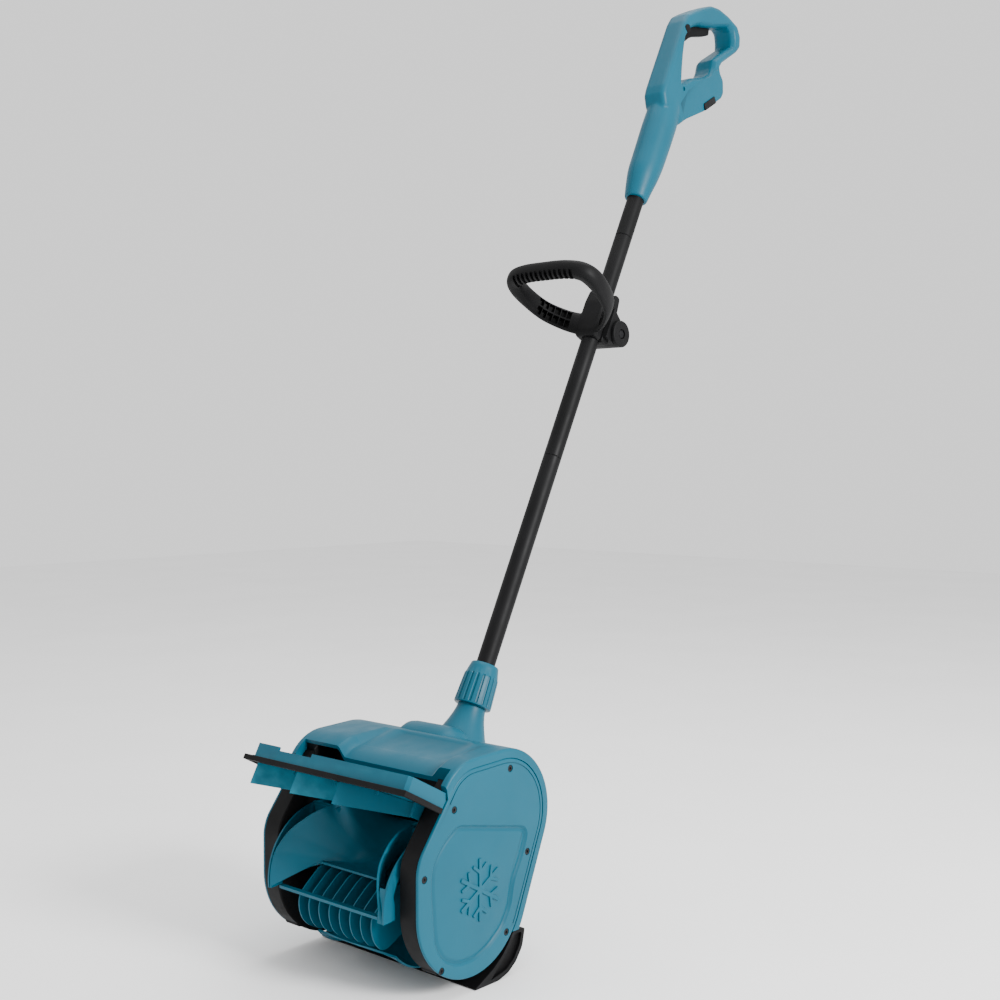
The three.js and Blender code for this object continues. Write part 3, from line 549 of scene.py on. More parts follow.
def hood_body():
    steps = [k / 8 for k in range(9)]
    xs = [-HEAD_HALF + EDGE_ROUND * (1 - math.cos(math.pi / 2 * t)) for t in steps] + [-110, -90]
    xs += slope_stations() + [0, 30]
    xs += [lerp(VALLEY_RIGHT - VALLEY_CORNER, VALLEY_RIGHT + VALLEY_SLOPE, k / 24) for k in range(25)]
    xs += [HEAD_HALF - EDGE_ROUND + EDGE_ROUND * math.sin(math.pi / 2 * t) for t in steps]
    body = loft("hood", [hood_ring(x) for x in xs])
    bulge = loft("bulge", [[(x, y, z) for y, z in disc(*BULGE_AXIS, r, 96)] for x, r in BULGE])
    return unite(body, bulge, on_shaft("neck", NECK, 96))


def band_room():
    """The hollow under the raised left band, open to the front."""
    room = loft("band_room", [hood_ring(x, HOOD_WALL) for x in [1 - RIM_INNER, -100, -80] + slope_stations()])
    return boolean(room, [box("reach", -200, 200, -200, -20, 0, 400)], "INTERSECT")


def hood():
    body = hood_body()
    limit = FRAME_INNER - GAP
    bay = side_outline(GAP)
    front = [(HOOD_FRONT_Y, 400), (HOOD_FRONT_Y, 236), (-20, 120), (-20, -50), (-300, -50), (-300, 400)]
    rims = [(RIM_FRONT[0] - 30, 400), (RIM_FRONT[0], RIM_FRONT[1] + 10), (-20, 150), (-20, -50), (-300, -50),
            (-300, 400)]
    tools = [slab_x("inside", side_outline(VALLEY_SKIN - HOOD_WALL), -limit, limit), band_room(),
             slab_x("bay", bay, limit, 200),
             slab_x("bay", bay, -200, -limit), slab_x("front", front, -RIM_INNER, RIM_INNER),
             slab_x("rims", rims, -200, 200), box("foot", -200, 200, -300, 200, -100, HOOD_FOOT_Z),
             on_shaft("bore", [(0, -76), (TUBE_R + GAP, -76), (TUBE_R + GAP, 40), (0, 40)]),
             on_shaft("cable", [(0, -160), (6, -160), (6, 0), (0, 0)], 24)]
    for i in range(-3, 4):
        slot = fillet([(-2.5, 176), (2.5, 176), (2.5, 206), (-2.5, 206)], 2.4)
        tools.append(loft("vent", [[(i * VENT_PITCH + a, y, b) for a, b in slot] for y in (60, 130)]))
    cut(body, *tools)
    keep_largest(body)
    return stand_for(body, "hood_shell", 32)


# ---------- side frames and covers ----------
RECESS = ((-50, 199), (66, 175), (72, 165), (62, 139), (47, 113), (41, 84), (27, 62), (3, 45), (-22, 36),
          (-50, 37), (-75, 49), (-87, 69), (-90, 98), (-93, 136), (-92, 155), (-84, 172), (-69, 187))
PANEL_DEPTH = 1.6        # the panel's face; a channel round it goes deeper
CRYSTAL_Y, CRYSTAL_Z = -12, 116


def side_frame():
    rings = [(FRAME_INNER, -1.6), (FRAME_INNER + 0.5, -0.7), (FRAME_INNER + 1.6, 0), (FRAME_OUTER, 0)]
    body = loft("side_frame", [[(x, y, z) for y, z in side_outline(offset)] for x, offset in rings])
    cut(body, slab_x("hollow", side_outline(-4), FRAME_INNER + 4, FRAME_OUTER + 1))
    boss = bar_x("boss", 17, FRAME_INNER + 3, FRAME_INNER + 5, AXLE_Y, AXLE_Z)
    posts = [bar_x("post", 5.5, FRAME_INNER + 3, FRAME_OUTER, y, z, 32) for y, z in SCREWS]
    unite(body, boss, *posts)
    pilots = [bar_x("pilot", 2.3, FRAME_INNER + 8, FRAME_OUTER + 1, y, z, 24) for y, z in SCREWS]
    return cut(body, bar_x("seat", 13.3, FRAME_INNER - 1, FRAME_INNER + 10, AXLE_Y, AXLE_Z), *pilots)


def crystal():
    """A six-armed snow crystal in low relief, standing on the recessed panel."""
    low, high = HEAD_HALF - PANEL_DEPTH - 0.3, HEAD_HALF + 0.3

    def strip(length, width, y, z, angle):
        c, s = math.cos(angle), math.sin(angle)
        outline = fillet([(-width, 0), (width, 0), (width, length), (-width, length)], width * 0.8)
        turned = [(y + a * c - b * s, z + a * s + b * c) for a, b in outline]
        return loft("strip", [[(x, a, b) for a, b in inset(turned, shrink)]
                              for x, shrink in ((low, 0), (high - 0.5, 0), (high, 0.5))])

    body, *rest = [strip(37, 2.5, CRYSTAL_Y, CRYSTAL_Z, i * math.pi / 3) for i in range(6)]
    for i in range(6):
        angle = i * math.pi / 3
        tip = (CRYSTAL_Y - 20 * math.sin(angle), CRYSTAL_Z + 20 * math.cos(angle))
        rest += [strip(15, 2, *tip, angle + lean) for lean in (-0.9, 0.9)]
    return unite(body, *rest)


def side_cover():
    rings = [(COVER_INNER, -0.3), (COVER_INNER + 0.4, 0), (HEAD_HALF - 2, 0)]
    for k in range(1, 7):
        turn = math.pi / 2 * k / 6
        rings.append((HEAD_HALF - 2 + 2 * math.sin(turn), -2 * (1 - math.cos(turn))))
    body = loft("side_cover", [[(x, y, z) for y, z in side_outline(offset)] for x, offset in rings])
    outline = fillet(RECESS, 9, 8)
    slope = [(1.2, -3.0), (0, -0.9), (-0.6, -0.2), (-2.4, 1.2), (-3.0, 2.4), (-3.0, 3.6), (-2.5, 4.8),
             (-PANEL_DEPTH - 0.2, 6.2), (-PANEL_DEPTH, 7.4)]
    recess = loft("recess", [[(HEAD_HALF + dx, y, z) for y, z in inset(outline, shrink)]
                             for dx, shrink in slope])
    groove = slab_x("groove", side_outline(-4.6), HEAD_HALF - 0.9, HEAD_HALF + 1)
    cut(groove, slab_x("core", side_outline(-5.8), HEAD_HALF - 2, HEAD_HALF + 2))
    reach = [(-75, 232), (0, 190), (30, 70), (90, 40), (200, 120), (60, 330), (-60, 300)]
    boolean(groove, [slab_x("reach", reach, HEAD_HALF - 3, HEAD_HALF + 3)], "INTERSECT")
    heads = [bar_x("head", 4.4, HEAD_HALF - 2.2, HEAD_HALF + 1, y, z, 40) for y, z in SCREWS]
    shanks = [bar_x("shank", 2.4, COVER_INNER - 1, HEAD_HALF, y, z, 32) for y, z in SCREWS]
    cut(body, recess, groove, *heads, *shanks)
    return merged("side_cover", [body, crystal()])


def head_sides():
    shell = side_frame()
    cover = side_cover()
    for side, label in SIDES:
        for source, part in ((shell, "side_frame"), (cover, "side_cover")):
            name = f"{label}_{part}_skin"
            piece = mirrored(source, name) if side < 0 else source
            piece.name = name
            if part == "side_frame" and side < 0:
                cut(piece, bar_x("motor_hole", 12, -FRAME_INNER - 5, -FRAME_INNER + 1, MOTOR_Y, MOTOR_Z))
            stand_for(piece, f"{label}_{part}", 30)


# ---------- scraper ----------
SCRAPER = ((-20, 0), (20, 0), (38, 5), (52, 15), (63, 30), (68, 51.8), (46, 51.8), (38, 40), (27, 28),
           (12, 17), (-4, 9), (-20, 1.6))
SCRAPER_POCKET = ((6, 4), (34, 9.5), (48, 19), (58, 33), (62, 48), (50, 48), (42, 37), (30, 24))


def scraper():
    outline = fillet(SCRAPER, 4, 4)
    half = HEAD_HALF - 1
    body = slab_x("scraper", outline, -half, half)
    pocket = fillet(SCRAPER_POCKET, 3)
    cut(body, slab_x("pocket", pocket, half - 4, half + 1), slab_x("pocket", pocket, -half - 1, 4 - half))
    bevel(body, 0.6, 2, 50)
    return stand_for(body, "scraper_blade", 30)


# ---------- rotor ----------
BOWL_ROWS = 56
BOWL_SIDE = 26
BOWL_WALL = 2.6
RIB_PITCH = 18
# Half width of the scoop at an angle above forward, on its left and on its right.
RIM_LEFT = ((-4, 97), (10, 97.5), (22, 96), (39, 86), (52, 73), (65, 62), (82, 55), (100, 52), (137, 48))
RIM_RIGHT = ((-4, 97), (4, 93), (12, 89), (26, 81), (34, 77.5), (48, 75.5), (62, 75), (80, 77), (100, 80),
             (137, 86))
BOWL_FLOOR = ((48, 22), (30, 22), (10, 24), (-12, 30), (-36, 42), (-62, 58))
RIB_HALF = ((24, 50), (-6, 82), (-17, 87), (-29, 88), (-41, 83), (-50, 50), (-80, 26), (-120, 20))


def bowl_point(t, u):
    """A place on the scoop's face: t from the sill to the lip, u from the left rim to the right."""
    floor = spline(BOWL_FLOOR, t)
    angle = lerp(-4, 137, t)
    rim = around(angle, lerp(ROTOR_R, 84, smooth(56, 104, angle)))
    half = table_value(RIM_LEFT if u < 0 else RIM_RIGHT, angle)
    bend = smooth(0, 0.4, t)
    flat = 0.6 * (1 - bend)
    corner = max(0, (abs(u) - flat) / (1 - flat))
    rise = corner ** lerp(1, 2.2, bend)
    v = floor.lerp(rim, rise)
    return Vector((u * half, AXLE_Y - v.x, AXLE_Z + v.y))


def scoop():
    columns = 2 * BOWL_SIDE + 1
    face = [[bowl_point(i / BOWL_ROWS, k / BOWL_SIDE) for k in range(-BOWL_SIDE, BOWL_SIDE + 1)]
            for i in range(BOWL_ROWS + 1)]
    back = []
    for i, row in enumerate(face):
        for j, p in enumerate(row):
            down = face[min(i + 1, BOWL_ROWS)][j] - face[max(i - 1, 0)][j]
            across = row[min(j + 1, columns - 1)] - row[max(j - 1, 0)]
            back.append(p + down.cross(across).normalized() * BOWL_WALL)
    vertices = [p for row in face for p in row] + back
    size = (BOWL_ROWS + 1) * columns
    faces = []
    for i in range(BOWL_ROWS):
        for j in range(columns - 1):
            a = i * columns + j
            quad = (a, a + 1, a + columns + 1, a + columns)
            faces.append(quad)
            faces.append(tuple(size + k for k in reversed(quad)))
    border = list(range(columns)) + [i * columns + columns - 1 for i in range(1, BOWL_ROWS + 1)]
    border += [BOWL_ROWS * columns + j for j in range(columns - 2, -1, -1)]
    border += [i * columns for i in range(BOWL_ROWS - 1, 0, -1)]
    for a, b in zip(border, border[1:] + border[:1]):
        faces.append((a, b, b + size, a + size))
    return mesh_object("scoop", vertices, faces)


def cheek_outline():
    """A crescent: full radius at the front tip, drawing in towards the back."""
    outer, inner = [], []
    for angle in range(-5, 116, 4):
        r = ROTOR_R - 18 * max(0, (angle - 15) / 100) ** 1.4
        outer.append(side_point(angle, r))
        inner.append(side_point(angle, r - 13))
    return outer + inner[::-1]


def sector(name, corners, x0, x1):
    return slab_x(name, [side_point(a, r) for a, r in corners], x0, x1)


def rotor_half():
    cheek = cheek_outline()
    tip = ((-5, 93.5), (-5, 76), (8, 77), (19, 84), (19, 93.5))
    web = ((74, 86), (74, 60), (77, 60), (77, 86))
    return [scoop(), sector("cross", ((-4, 78), (-4, 84), (-6.5, 84), (-6.5, 78)), -92, 80),
            slab_x("cheek", cheek, -101.5, -99), slab_x("cheek", cheek, 99, 101.5),
            sector("tip", tip, -101, -96), sector("tip", tip, 90, 101),
            sector("web", web, -101, -54), sector("web", web, 74, 101)]


def rotor():
    half_turn = (Matrix.Translation(Vector((0, AXLE_Y, AXLE_Z)) * MM) @ Matrix.Rotation(math.pi, 4, "X")
                 @ Matrix.Translation(Vector((0, -AXLE_Y, -AXLE_Z)) * MM))
    pieces = rotor_half()
    second = rotor_half()
    for piece in second:
        piece.data.transform(half_turn)
    pieces += second
    rib = list(RIB_HALF) + [(a - 180, r) for a, r in RIB_HALF]
    outline = fillet([side_point(a, r) for a, r in rib], 14, 6)
    for i in range(-3, 5):
        middle = (i - 0.5) * RIB_PITCH + 6
        pieces.append(slab_x("rib", outline, middle - 1, middle + 1))
    pieces.append(bar_x("hub", 11, -101.5, 101.5, AXLE_Y, AXLE_Z, 64))
    body = merged("rotor_moulding", pieces)
    bevel(body, 0.35, 2, 60)
    return stand_for(body, "rotor", 40)


# ---------- deflector ----------
FLANGE = 16
VANE_X = (-88, -14, 60)
VANE_D = 32
VANE_LENGTH = 90
VANE_DROP = (30, 16)
VANE_TURN = math.radians(41)


def side_clearance():
    room = [(-68, 190), (-30, 190), (-30, 300), (-68, 300)]
    limit = FRAME_INNER - GAP
    return [slab_x("clear", outline, x0, x1) for outline in (side_outline(1), room)
            for x0, x1 in ((limit, 200), (-200, -limit))]


def deflector():
    floor = on_plate("floor", [(-134, 0), (134, 0), (134, 70), (112, 78), (-112, 78), (-134, 70)], -3, 0)
    upstand = on_plate("upstand", [(-134, 70), (-134, 4), (-130, 0), (130, 0), (134, 4), (134, 70), (131, 70),
                                   (131, 5.2), (128.8, 3), (-128.8, 3), (-131, 5.2), (-131, 70)], -2, FLANGE)
    cut(upstand, on_plate("notch", [(-92, -5), (-32, -5), (-32, 8), (-92, 8)], FLANGE - 4.5, FLANGE + 5))
    pieces = [upstand]
    for x in (0.6 - FRAME_INNER, FRAME_INNER - 5):
        pieces.append(on_plate("ear", [(x, 52), (x + 4.4, 52), (x + 4.4, 76), (x, 76)], -20, -1))
    unite(floor, *pieces)
    holes = [on_plate("hole", disc(x, VANE_D, 3.2, 32), -10, 5) for x in VANE_X]
    cut(floor, *side_clearance(), *holes)
    bevel(floor, 0.7, 3, 50)
    floor.name = "deflector_tray"
    stand_for(floor, "deflector_plate", 30)
    outline = [(-141, -7), (141, -7), (141, 20), (138, 62), (134.6, 62), (134.6, -0.6), (-134.6, -0.6),
               (-134.6, 40), (-141, 40)]
    strip = on_plate("deflector_strip", outline, -8, -1.5)
    cut(strip, *side_clearance())
    bevel(strip, 0.6, 3, 50)
    stand_for(strip, "deflector_front_strip", 30)


def vane(x, name):
    c, s = math.cos(VANE_TURN), math.sin(VANE_TURN)
    half = VANE_LENGTH / 2
    top = -3.6

    def at(u, v, h):
        return plate_point(x + u * c - v * s, VANE_D + u * s + v * c, h)

    profile = ((-half, top), (half, top), (half, top - VANE_DROP[1]), (-half, top - VANE_DROP[0]))
    blade = loft("blade", [[at(u, v, h) for u, h in profile] for v in (-1.3, 1.3)])
    ledge = ((-half * 0.3, 0), (half, 0), (half, 5), (-half * 0.3, 5))
    flange = loft("flange", [[at(u, v, h) for u, v in ledge] for h in (top - 2, top)])
    stem = on_plate("stem", disc(x, VANE_D, 2.9, 32), -8, 2)
    head = on_plate("head", disc(x, VANE_D, 5, 32), 0.4, 2.4)
    unite(blade, flange, stem, head)
    blade.name = f"{name}_blade"
    bevel(blade, 0.45, 2, 50)
    return stand_for(blade, name, 30)


# ---------- collar nut and shaft ----------
NUT_SIDES = 192
NUT_FLUTES = 18
# (radius, flute depth, s) up the nut
NUT_PROFILE = ((23.2, 0, -57), (23.8, 0, -56.6), (24.6, 0, -56), (24.8, 0, -54.5), (24.8, 1.5, -54),
               (24.7, 1.6, -51), (24.1, 1.7, -40), (23.4, 1.7, -27), (22.8, 1.6, -18), (22.6, 1.4, -16.5),
               (21.9, 0, -15.5), (19.6, 0, -6), (18.4, 0, -1), (17.4, 0, 0))
# (radius, distance from the shaft axis) up a snap button
BUTTON_PROFILE = ((3.1, TUBE_R - 2), (3.1, TUBE_R + 0.6), (2.7, TUBE_R + 1.3), (1.7, TUBE_R + 1.8),
                  (0.4, TUBE_R + 2))


def collar_nut():
    rings = []
    for r, depth, s in NUT_PROFILE:
        ring = []
        for k in range(NUT_SIDES):
            angle = 2 * math.pi * k / NUT_SIDES
            groove = smooth(0.25, 0.65, math.cos(NUT_FLUTES * angle))
            reach = r - depth * groove
            ring.append(shaft_point(reach * math.cos(angle), s, reach * math.sin(angle)))
        rings.append(ring)
    body = loft("collar_nut_skin", rings)
    cut(body, on_shaft("socket", [(0, -60), (18.9, -60), (18.9, -8), (13, -4), (13, 1), (0, 1)], 72))
    return stand_for(body, "collar_nut", 40)


def tube(node, s0, s1):
    lip = 0.6
    body = on_shaft(f"{node}_skin", [(0, s0), (TUBE_R - lip, s0), (TUBE_R, s0 + lip), (TUBE_R, s1 - lip),
                                     (TUBE_R - lip, s1), (0, s1)], 96)
    cut(body, on_shaft("bore", [(0, s0 - 1), (TUBE_BORE, s0 - 1), (TUBE_BORE, s1 + 1), (0, s1 + 1)], 96))
    return stand_for(body, node, 40)


def snap_button(name, s, node):
    """A sprung button that stands up through the tube wall beside a joint."""
    angle = math.radians(200)
    out = Vector((math.cos(angle), 0, math.sin(angle)))
    side = Vector((-out.z, 0, out.x))
    rings = []
    for r, reach in BUTTON_PROFILE:
        ring = []
        for a, b in disc(0, 0, r, 32):
            p = out * reach + side * a
            ring.append(shaft_point(p.x, s + b, p.z))
        rings.append(ring)
    return dress(loft(name, rings), node, slot="steel")


# ---------- fore grip ----------
LOOP_TILT = 0.103        # the loop rises towards its grip bar
LOOP_S = 509             # where the loop's plane meets the shaft
LOOP_HALF = ((16, 12), (36, 24), (57, 48), (66, 78), (67, 104), (58, 121), (34, 128), (0, 129))
LOOP_SECTION = ((5, 17), (5, 16), (6, 15), (8, 14), (11, 13), (12, 12), (12, 12), (12, 12))
LOOP_RINGS = 150
SLOT_PITCH = 8.2
SLOT_SLANT = 3
BOSS = (514, -27, 19)    # (s, n, radius) of the clamp boss, axis along X
CLAMP_WEB = ((497, -3), (495, -24), (533, -24), (542, -3))


def grip_loop():
    half = [(x, v, *section) for (x, v), section in zip(LOOP_HALF, LOOP_SECTION)]
    path = half + [(-x, v, a, b) for x, v, a, b in reversed(half[:-1])]
    stations = [spline(path, i / LOOP_RINGS) for i in range(LOOP_RINGS + 1)]
    rings = []
    for i, (x, v, across, along_shaft) in enumerate(stations):
        before, after = stations[max(0, i - 1)], stations[min(LOOP_RINGS, i + 1)]
        way = Vector((after[0] - before[0], after[1] - before[1])).normalized()
        ring = []
        for k in range(40):
            angle = 2 * math.pi * k / 40
            c, s = math.cos(angle), math.sin(angle)
            a = across * math.copysign(abs(c) ** 0.8, c)
            b = along_shaft * math.copysign(abs(s) ** 0.8, s)
            ring.append(shaft_point(x - way.y * a, LOOP_S + v * LOOP_TILT + b, v + way.x * a))
        rings.append(ring)
    return loft("grip_loop", rings)


def finger_slots():
    """Slanted slots in the underside of the grip bar."""
    slots = []
    for i in range(13):
        x = (i - 6) * SLOT_PITCH
        outline = [(x - 2.5 - SLOT_SLANT, 114), (x + 2.5 - SLOT_SLANT, 114), (x + 2.5 + SLOT_SLANT, 142),
                   (x - 2.5 + SLOT_SLANT, 142)]
        slots.append(loft("slot", [[shaft_point(a, s + b * LOOP_TILT, b) for a, b in fillet(outline, 1.4, 3)]
                                   for s in (LOOP_S - 20, LOOP_S - 7)]))
    return slots


def arm_pockets():
    """Two rows of pockets in the inner face of each arm leave a middle web and cross ribs."""
    pockets = []
    spans = len(LOOP_HALF) - 1
    centres = [spline(LOOP_HALF, (0.7 + 0.3 * i) / spans) for i in range(7)]
    for side, _ in SIDES:
        for a, b in zip(centres, centres[1:]):
            way = (b - a).normalized()
            inwards = Vector((-way.y, way.x))
            start, end = a + way * 0.8, b - way * 0.8
            corners = [start - inwards * 1.5, end - inwards * 1.5, end + inwards * 9, start + inwards * 9]
            for low, high in ((1.1, 12.5), (-12.5, -1.1)):
                pockets.append(loft("pocket", [[shaft_point(side * c.x, LOOP_S + a.y * LOOP_TILT + h, c.y)
                                                for c in corners] for h in (low, high)]))
    return merged("pockets", pockets)


def clamp_bore():
    return on_shaft("clamp_bore", [(0, 400), (TUBE_R + 0.3, 400), (TUBE_R + 0.3, 700), (0, 700)])


def fore_grip():
    saddle_line = fillet([(489, -2), (489, 15), (496, 18), (545, 18), (566, 14.5), (566, -2)], 4)
    saddle = rounded_slab("saddle", saddle_line, -18, 18, 4, shaft_point)
    body = merged("foregrip_moulding", [grip_loop(), saddle])
    melt(body, 0.9, 14)
    cut(body, clamp_bore(), slab_on_shaft("behind", [(400, -2), (400, -60), (640, -60), (640, -2)], -60, 60),
        merged("slots", finger_slots()), arm_pockets())
    keep_largest(body)
    stand_for(body, "foregrip_loop", 38)
    back_line = fillet([(489, -2.6), (566, -2.6), (566, -14.5), (545, -18), (489, -18)], 5)
    back = rounded_slab("clamp_back", back_line, -18, 18, 2, shaft_point)
    s, n, r = BOSS
    boss = rounded_slab("boss", disc(s, n, r, 72), -20, 30, 2, shaft_point)
    unite(back, boss, slab_on_shaft("web", CLAMP_WEB, 10, 24), slab_on_shaft("web", CLAMP_WEB, -19.5, -10))
    cut(back, clamp_bore(), slab_on_shaft("bolt_way", disc(s, n, 3.3, 32), -60, 60),
        slab_on_shaft("bolt_seat", disc(s, n, 7, 48), 25, 60))
    back.name = "foregrip_back"
    stand_for(back, "foregrip_clamp", 35)


def wing_knob():
    s, n, _ = BOSS
    core = rounded_slab("core", disc(s, n, 11, 64), -38, -22.5, 1.6, shaft_point)
    turn = 0.9
    wing = []
    for a, b in fillet([(-22, -3), (22, -3), (22, 3), (-22, 3)], 2.8, 6):
        wing.append((s + a * math.cos(turn) - b * math.sin(turn),
                     n + a * math.sin(turn) + b * math.cos(turn)))
    wings = rounded_slab("wings", wing, -37.5, -25.5, 1.2, shaft_point)
    unite(core, wings)
    cut(core, slab_on_shaft("bolt_way", disc(s, n, 3.3, 32), -60, 0))
    core.name = "wing_knob_skin"
    return stand_for(core, "wing_knob", 35)


# ---------- handle ----------
HANDLE_HALF = 20
HANDLE_OUTLINE = [(878, 22), (893, 35), (906, 37), (1026, 37), (1042, 34), (1056, 24), (1078, 6), (1096, -12),
                  (1106, -30), (1113, -56), (1116, -84), (1106, -99), (1090, -106), (1078, -102), (1036, -76),
                  (1024, -73), (1019, -78), (1015, -92), (1000, -104), (990, -103), (942, -73), (918, -53),
                  (900, -38), (878, -24)]
HANDLE_WINDOW = [(939, 1), (956, 8), (978, 16), (1004, 23), (1028, 17), (1046, 2), (1058, -16), (1070, -32),
                 (1088, -52), (1098, -65), (1097, -75), (1088, -82), (1078, -86), (1036, -59), (1026, -54),
                 (1012, -57), (1000, -56), (986, -46), (962, -18), (943, -4)]
# (s, n, half height, half width) up the barrel
BARREL = ((728, 0, 17, 17), (748, 1, 20.5, 20), (772, 1, 24.5, 23), (800, 0, 26, 24), (858, 0, 27.5, 24),
          (884, 0, 27, 22.5), (905, 0, 25, 20), (930, 2, 20, 16))
TRIGGER = [(972, 15), (988, 15), (1007, 12), (1023, 3), (1037, -9), (1051, -26), (1062, -38), (1073, -34),
           (1066, -18), (1050, 6), (1030, 22), (1004, 28), (978, 24)]
TRIGGER_PIVOT = (1064, -32)
BATTERY_STEP = [(1022, -69), (936, -16), (905, -8), (880, -40), (940, -110), (1030, -120)]
TERMINAL = [(950, -66), (978, -84), (972, -92), (944, -74)]
BUTTON = (1018, 27, 6)


def barrel(name, sides=64, rings=40):
    stations = [spline(BARREL, i / rings) for i in range(rings + 1)]
    return loft(name, [[shaft_point(w * math.cos(2 * math.pi * k / sides), s,
                                    n + h * math.sin(2 * math.pi * k / sides)) for k in range(sides)]
                       for s, n, h, w in stations])


def battery_flank(side):
    """A tool that cuts a side of the battery block to a face leaning in from its ridge."""
    (s0, n0), (s1, n1) = BATTERY_STEP[1], BATTERY_STEP[0]
    along = Vector((s1 - s0, n1 - n0)).normalized()
    leaning = []
    for s, n in BATTERY_STEP:
        below = (s - s0) * along.y - (n - n0) * along.x
        leaning.append(shaft_point(side * (18.6 - 0.14 * below), s, n))
    return loft("flank", [leaning, [shaft_point(side * 60, s, n) for s, n in BATTERY_STEP]])


def turned_outline(points, pivot, degrees):
    a = math.radians(degrees)
    return [(pivot[0] + (s - pivot[0]) * math.cos(a) - (n - pivot[1]) * math.sin(a),
             pivot[1] + (s - pivot[0]) * math.sin(a) + (n - pivot[1]) * math.cos(a)) for s, n in points]


def half_space(name, x0, x1):
    """A box between two planes across X that holds the whole handle."""
    return box(name, x0, x1, 300, 900, 800, 1500)


def handle():
    block = rounded_slab("block", HANDLE_OUTLINE, -HANDLE_HALF, HANDLE_HALF, 8, shaft_point, 6)
    flare = ((-60, 5), (-HANDLE_HALF, 5), (-13, 0), (13, 0), (HANDLE_HALF, 5), (60, 5))
    cut(block, loft("window", [[shaft_point(x, s, n) for s, n in inset(HANDLE_WINDOW, -grow)]
                               for x, grow in flare]))
    body = merged("handle", [block, barrel("barrel")])
    melt(body, 1.0, 40)
    cut(body, *[battery_flank(side) for side, _ in SIDES])
    cut(body, slab_on_shaft("screw_well", disc(930, -5, 3.2, 32), HANDLE_HALF - 1.6, 60))
    slots = [slab_on_shaft("slot", inset(turned_outline(TRIGGER, TRIGGER_PIVOT, turn), -0.8), -7, 7)
             for turn in (0, -3.5, -7)]
    s, n, r = BUTTON
    bore = [(0, 700), (TUBE_R + 0.4, 700), (TUBE_R + 0.4, 830), (5, 832), (5, 900), (0, 900)]
    cut(body, on_shaft("bore", bore), *slots,
        slab_on_shaft("seat", inset(TERMINAL, -0.5), -15.5, 15.5),
        slab_on_shaft("button_hole", disc(s, n, r + 0.5, 48), 0, 40))
    split = 0.15
    other = body.copy()
    other.data = body.data.copy()
    bpy.context.collection.objects.link(other)
    cut(body, half_space("away", split, 90))
    cut(other, half_space("away", -90, -split))
    for piece, label in ((body, "left"), (other, "right")):
        keep_largest(piece)
        piece.name = f"handle_{label}_moulding"
        stand_for(piece, f"handle_{label}_shell", 40)


def small_controls():
    trigger = rounded_slab("trigger_skin", fillet(TRIGGER, 3, 4), -6, 6, 1.8, shaft_point)
    stand_for(trigger, "trigger", 35)
    s, n, r = BUTTON
    button = rounded_slab("lock_off_skin", disc(s, n, r, 48), 10.5, 20.4, 1.2, shaft_point)
    stand_for(button, "lock_off_button", 35)


# ---------- pieces kept from the frame ----------
def finish_kept_nodes():
    """The frame's own meshes that stay: inner parts and fasteners get a finish and softened edges."""
    for name, obj in frame["nodes"].items():
        if obj.hide_render:
            continue
        obj.data.materials.clear()
        obj.data.materials.append(MATERIALS[NODE_SLOTS[name]])
        modifier = obj.modifiers.new("soft_edges", "BEVEL")
        modifier.width = 0.25 * MM
        modifier.segments = 2
        modifier.limit_method = "ANGLE"
        modifier.angle_limit = math.radians(45)


# ---------- studio ----------
FLOOR_HALF = 6000        # mm
FLOOR_Z = -0.5           # just under the scraper's ground face
CAMERA_PLACE = (1.19142, -1.16094, 0.61704)      # metres
CAMERA_TURN = (90 - 1.79, 0, 41.75)              # degrees
CAMERA_LENS = 48.915


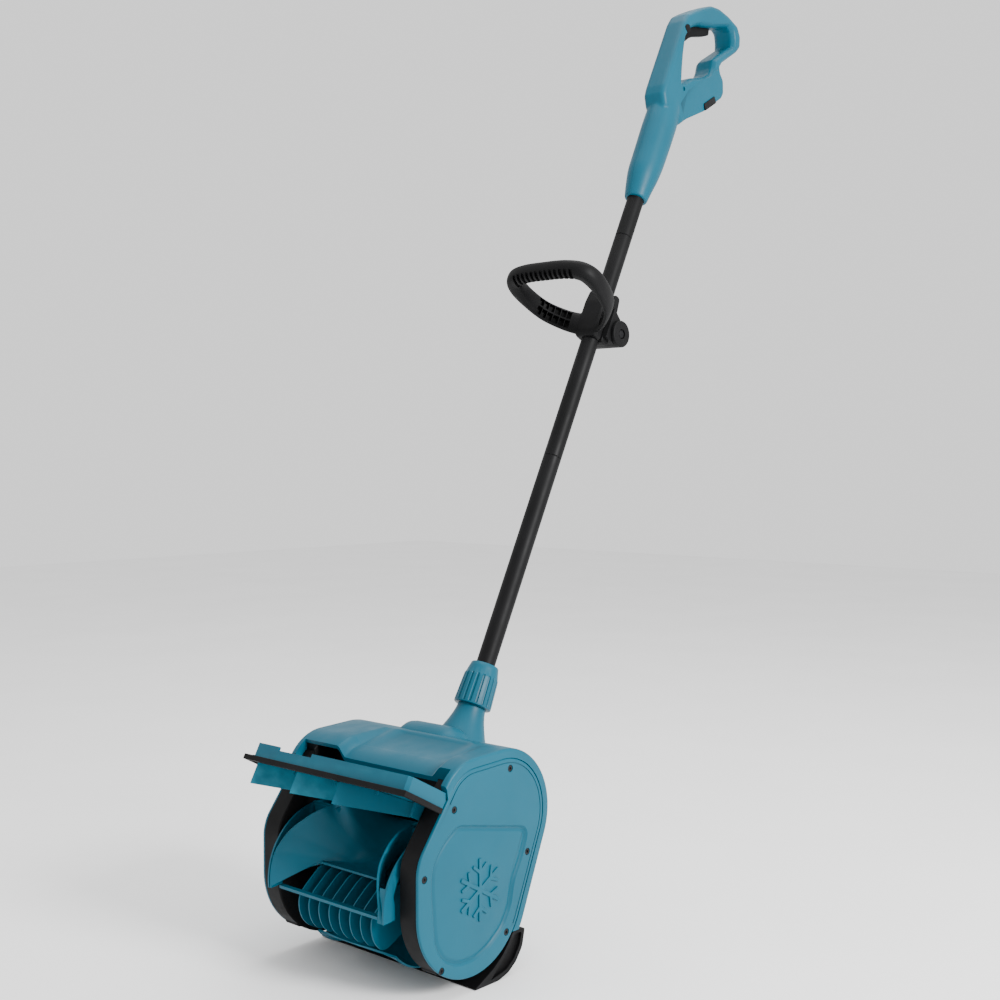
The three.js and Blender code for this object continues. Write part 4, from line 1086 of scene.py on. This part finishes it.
def studio():
    corners = ((-FLOOR_HALF, -FLOOR_HALF), (FLOOR_HALF, -FLOOR_HALF), (FLOOR_HALF, FLOOR_HALF),
               (-FLOOR_HALF, FLOOR_HALF))
    floor = mesh_object("floor", [(x, y, FLOOR_Z) for x, y in corners], [(0, 1, 2, 3)])
    material, nodes, links, shader = graph("floor")
    pale = [(0.3, (0.90, 0.90, 0.90)), (0.7, (0.93, 0.93, 0.93))]
    links.new(ramp(nodes, links, noise(nodes, links, 3, 3), pale), shader.inputs["Base Color"])
    shader.inputs["Roughness"].default_value = 0.9
    floor.data.materials.append(material)
    world = bpy.data.worlds.new("studio")
    world.use_nodes = True
    world.node_tree.nodes["Background"].inputs["Color"].default_value = (1, 1, 1, 1)
    world.node_tree.nodes["Background"].inputs["Strength"].default_value = 1.2
    bpy.context.scene.world = world


def softbox(name, place, target, size, power):
    light = bpy.data.lights.new(name, "AREA")
    light.shape = "RECTANGLE"
    light.size, light.size_y = size
    light.energy = power
    obj = bpy.data.objects.new(name, light)
    obj.location = place
    obj.rotation_euler = (Vector(target) - Vector(place)).to_track_quat("-Z", "Y").to_euler()
    bpy.context.collection.objects.link(obj)


def camera():
    data = bpy.data.cameras.new("camera")
    data.lens = CAMERA_LENS
    data.sensor_width = 36
    obj = bpy.data.objects.new("camera", data)
    obj.location = CAMERA_PLACE
    obj.rotation_euler = [math.radians(turn) for turn in CAMERA_TURN]
    bpy.context.collection.objects.link(obj)
    bpy.context.scene.camera = obj


hood()
head_sides()
scraper()
rotor()
deflector()
for index, pivot_x in enumerate(VANE_X):
    vane(pivot_x, f"deflector_vane_{index + 1}")
collar_nut()
tube("lower_tube", -75, JOINT_S[0] - 0.2)
tube("middle_tube", JOINT_S[0] + 0.2, JOINT_S[1] - 0.2)
tube("upper_tube", JOINT_S[1] + 0.2, 800)
snap_button("lower_snap_button", JOINT_S[0] + 24, "middle_tube")
snap_button("upper_snap_button", JOINT_S[1] + 40, "upper_tube")
fore_grip()
wing_knob()
handle()
small_controls()
finish_kept_nodes()

studio()
softbox("key", (2.6, 0.1, 1.5), (0.1, 0, 0.3), (0.8, 0.8), 135)
softbox("fill", (-1.8, -2.2, 1.6), (0, 0, 0.5), (2.0, 2.0), 5)
softbox("top", (0, 0.6, 3.0), (0, 0.2, 0.4), (2.0, 2.0), 50)
camera()
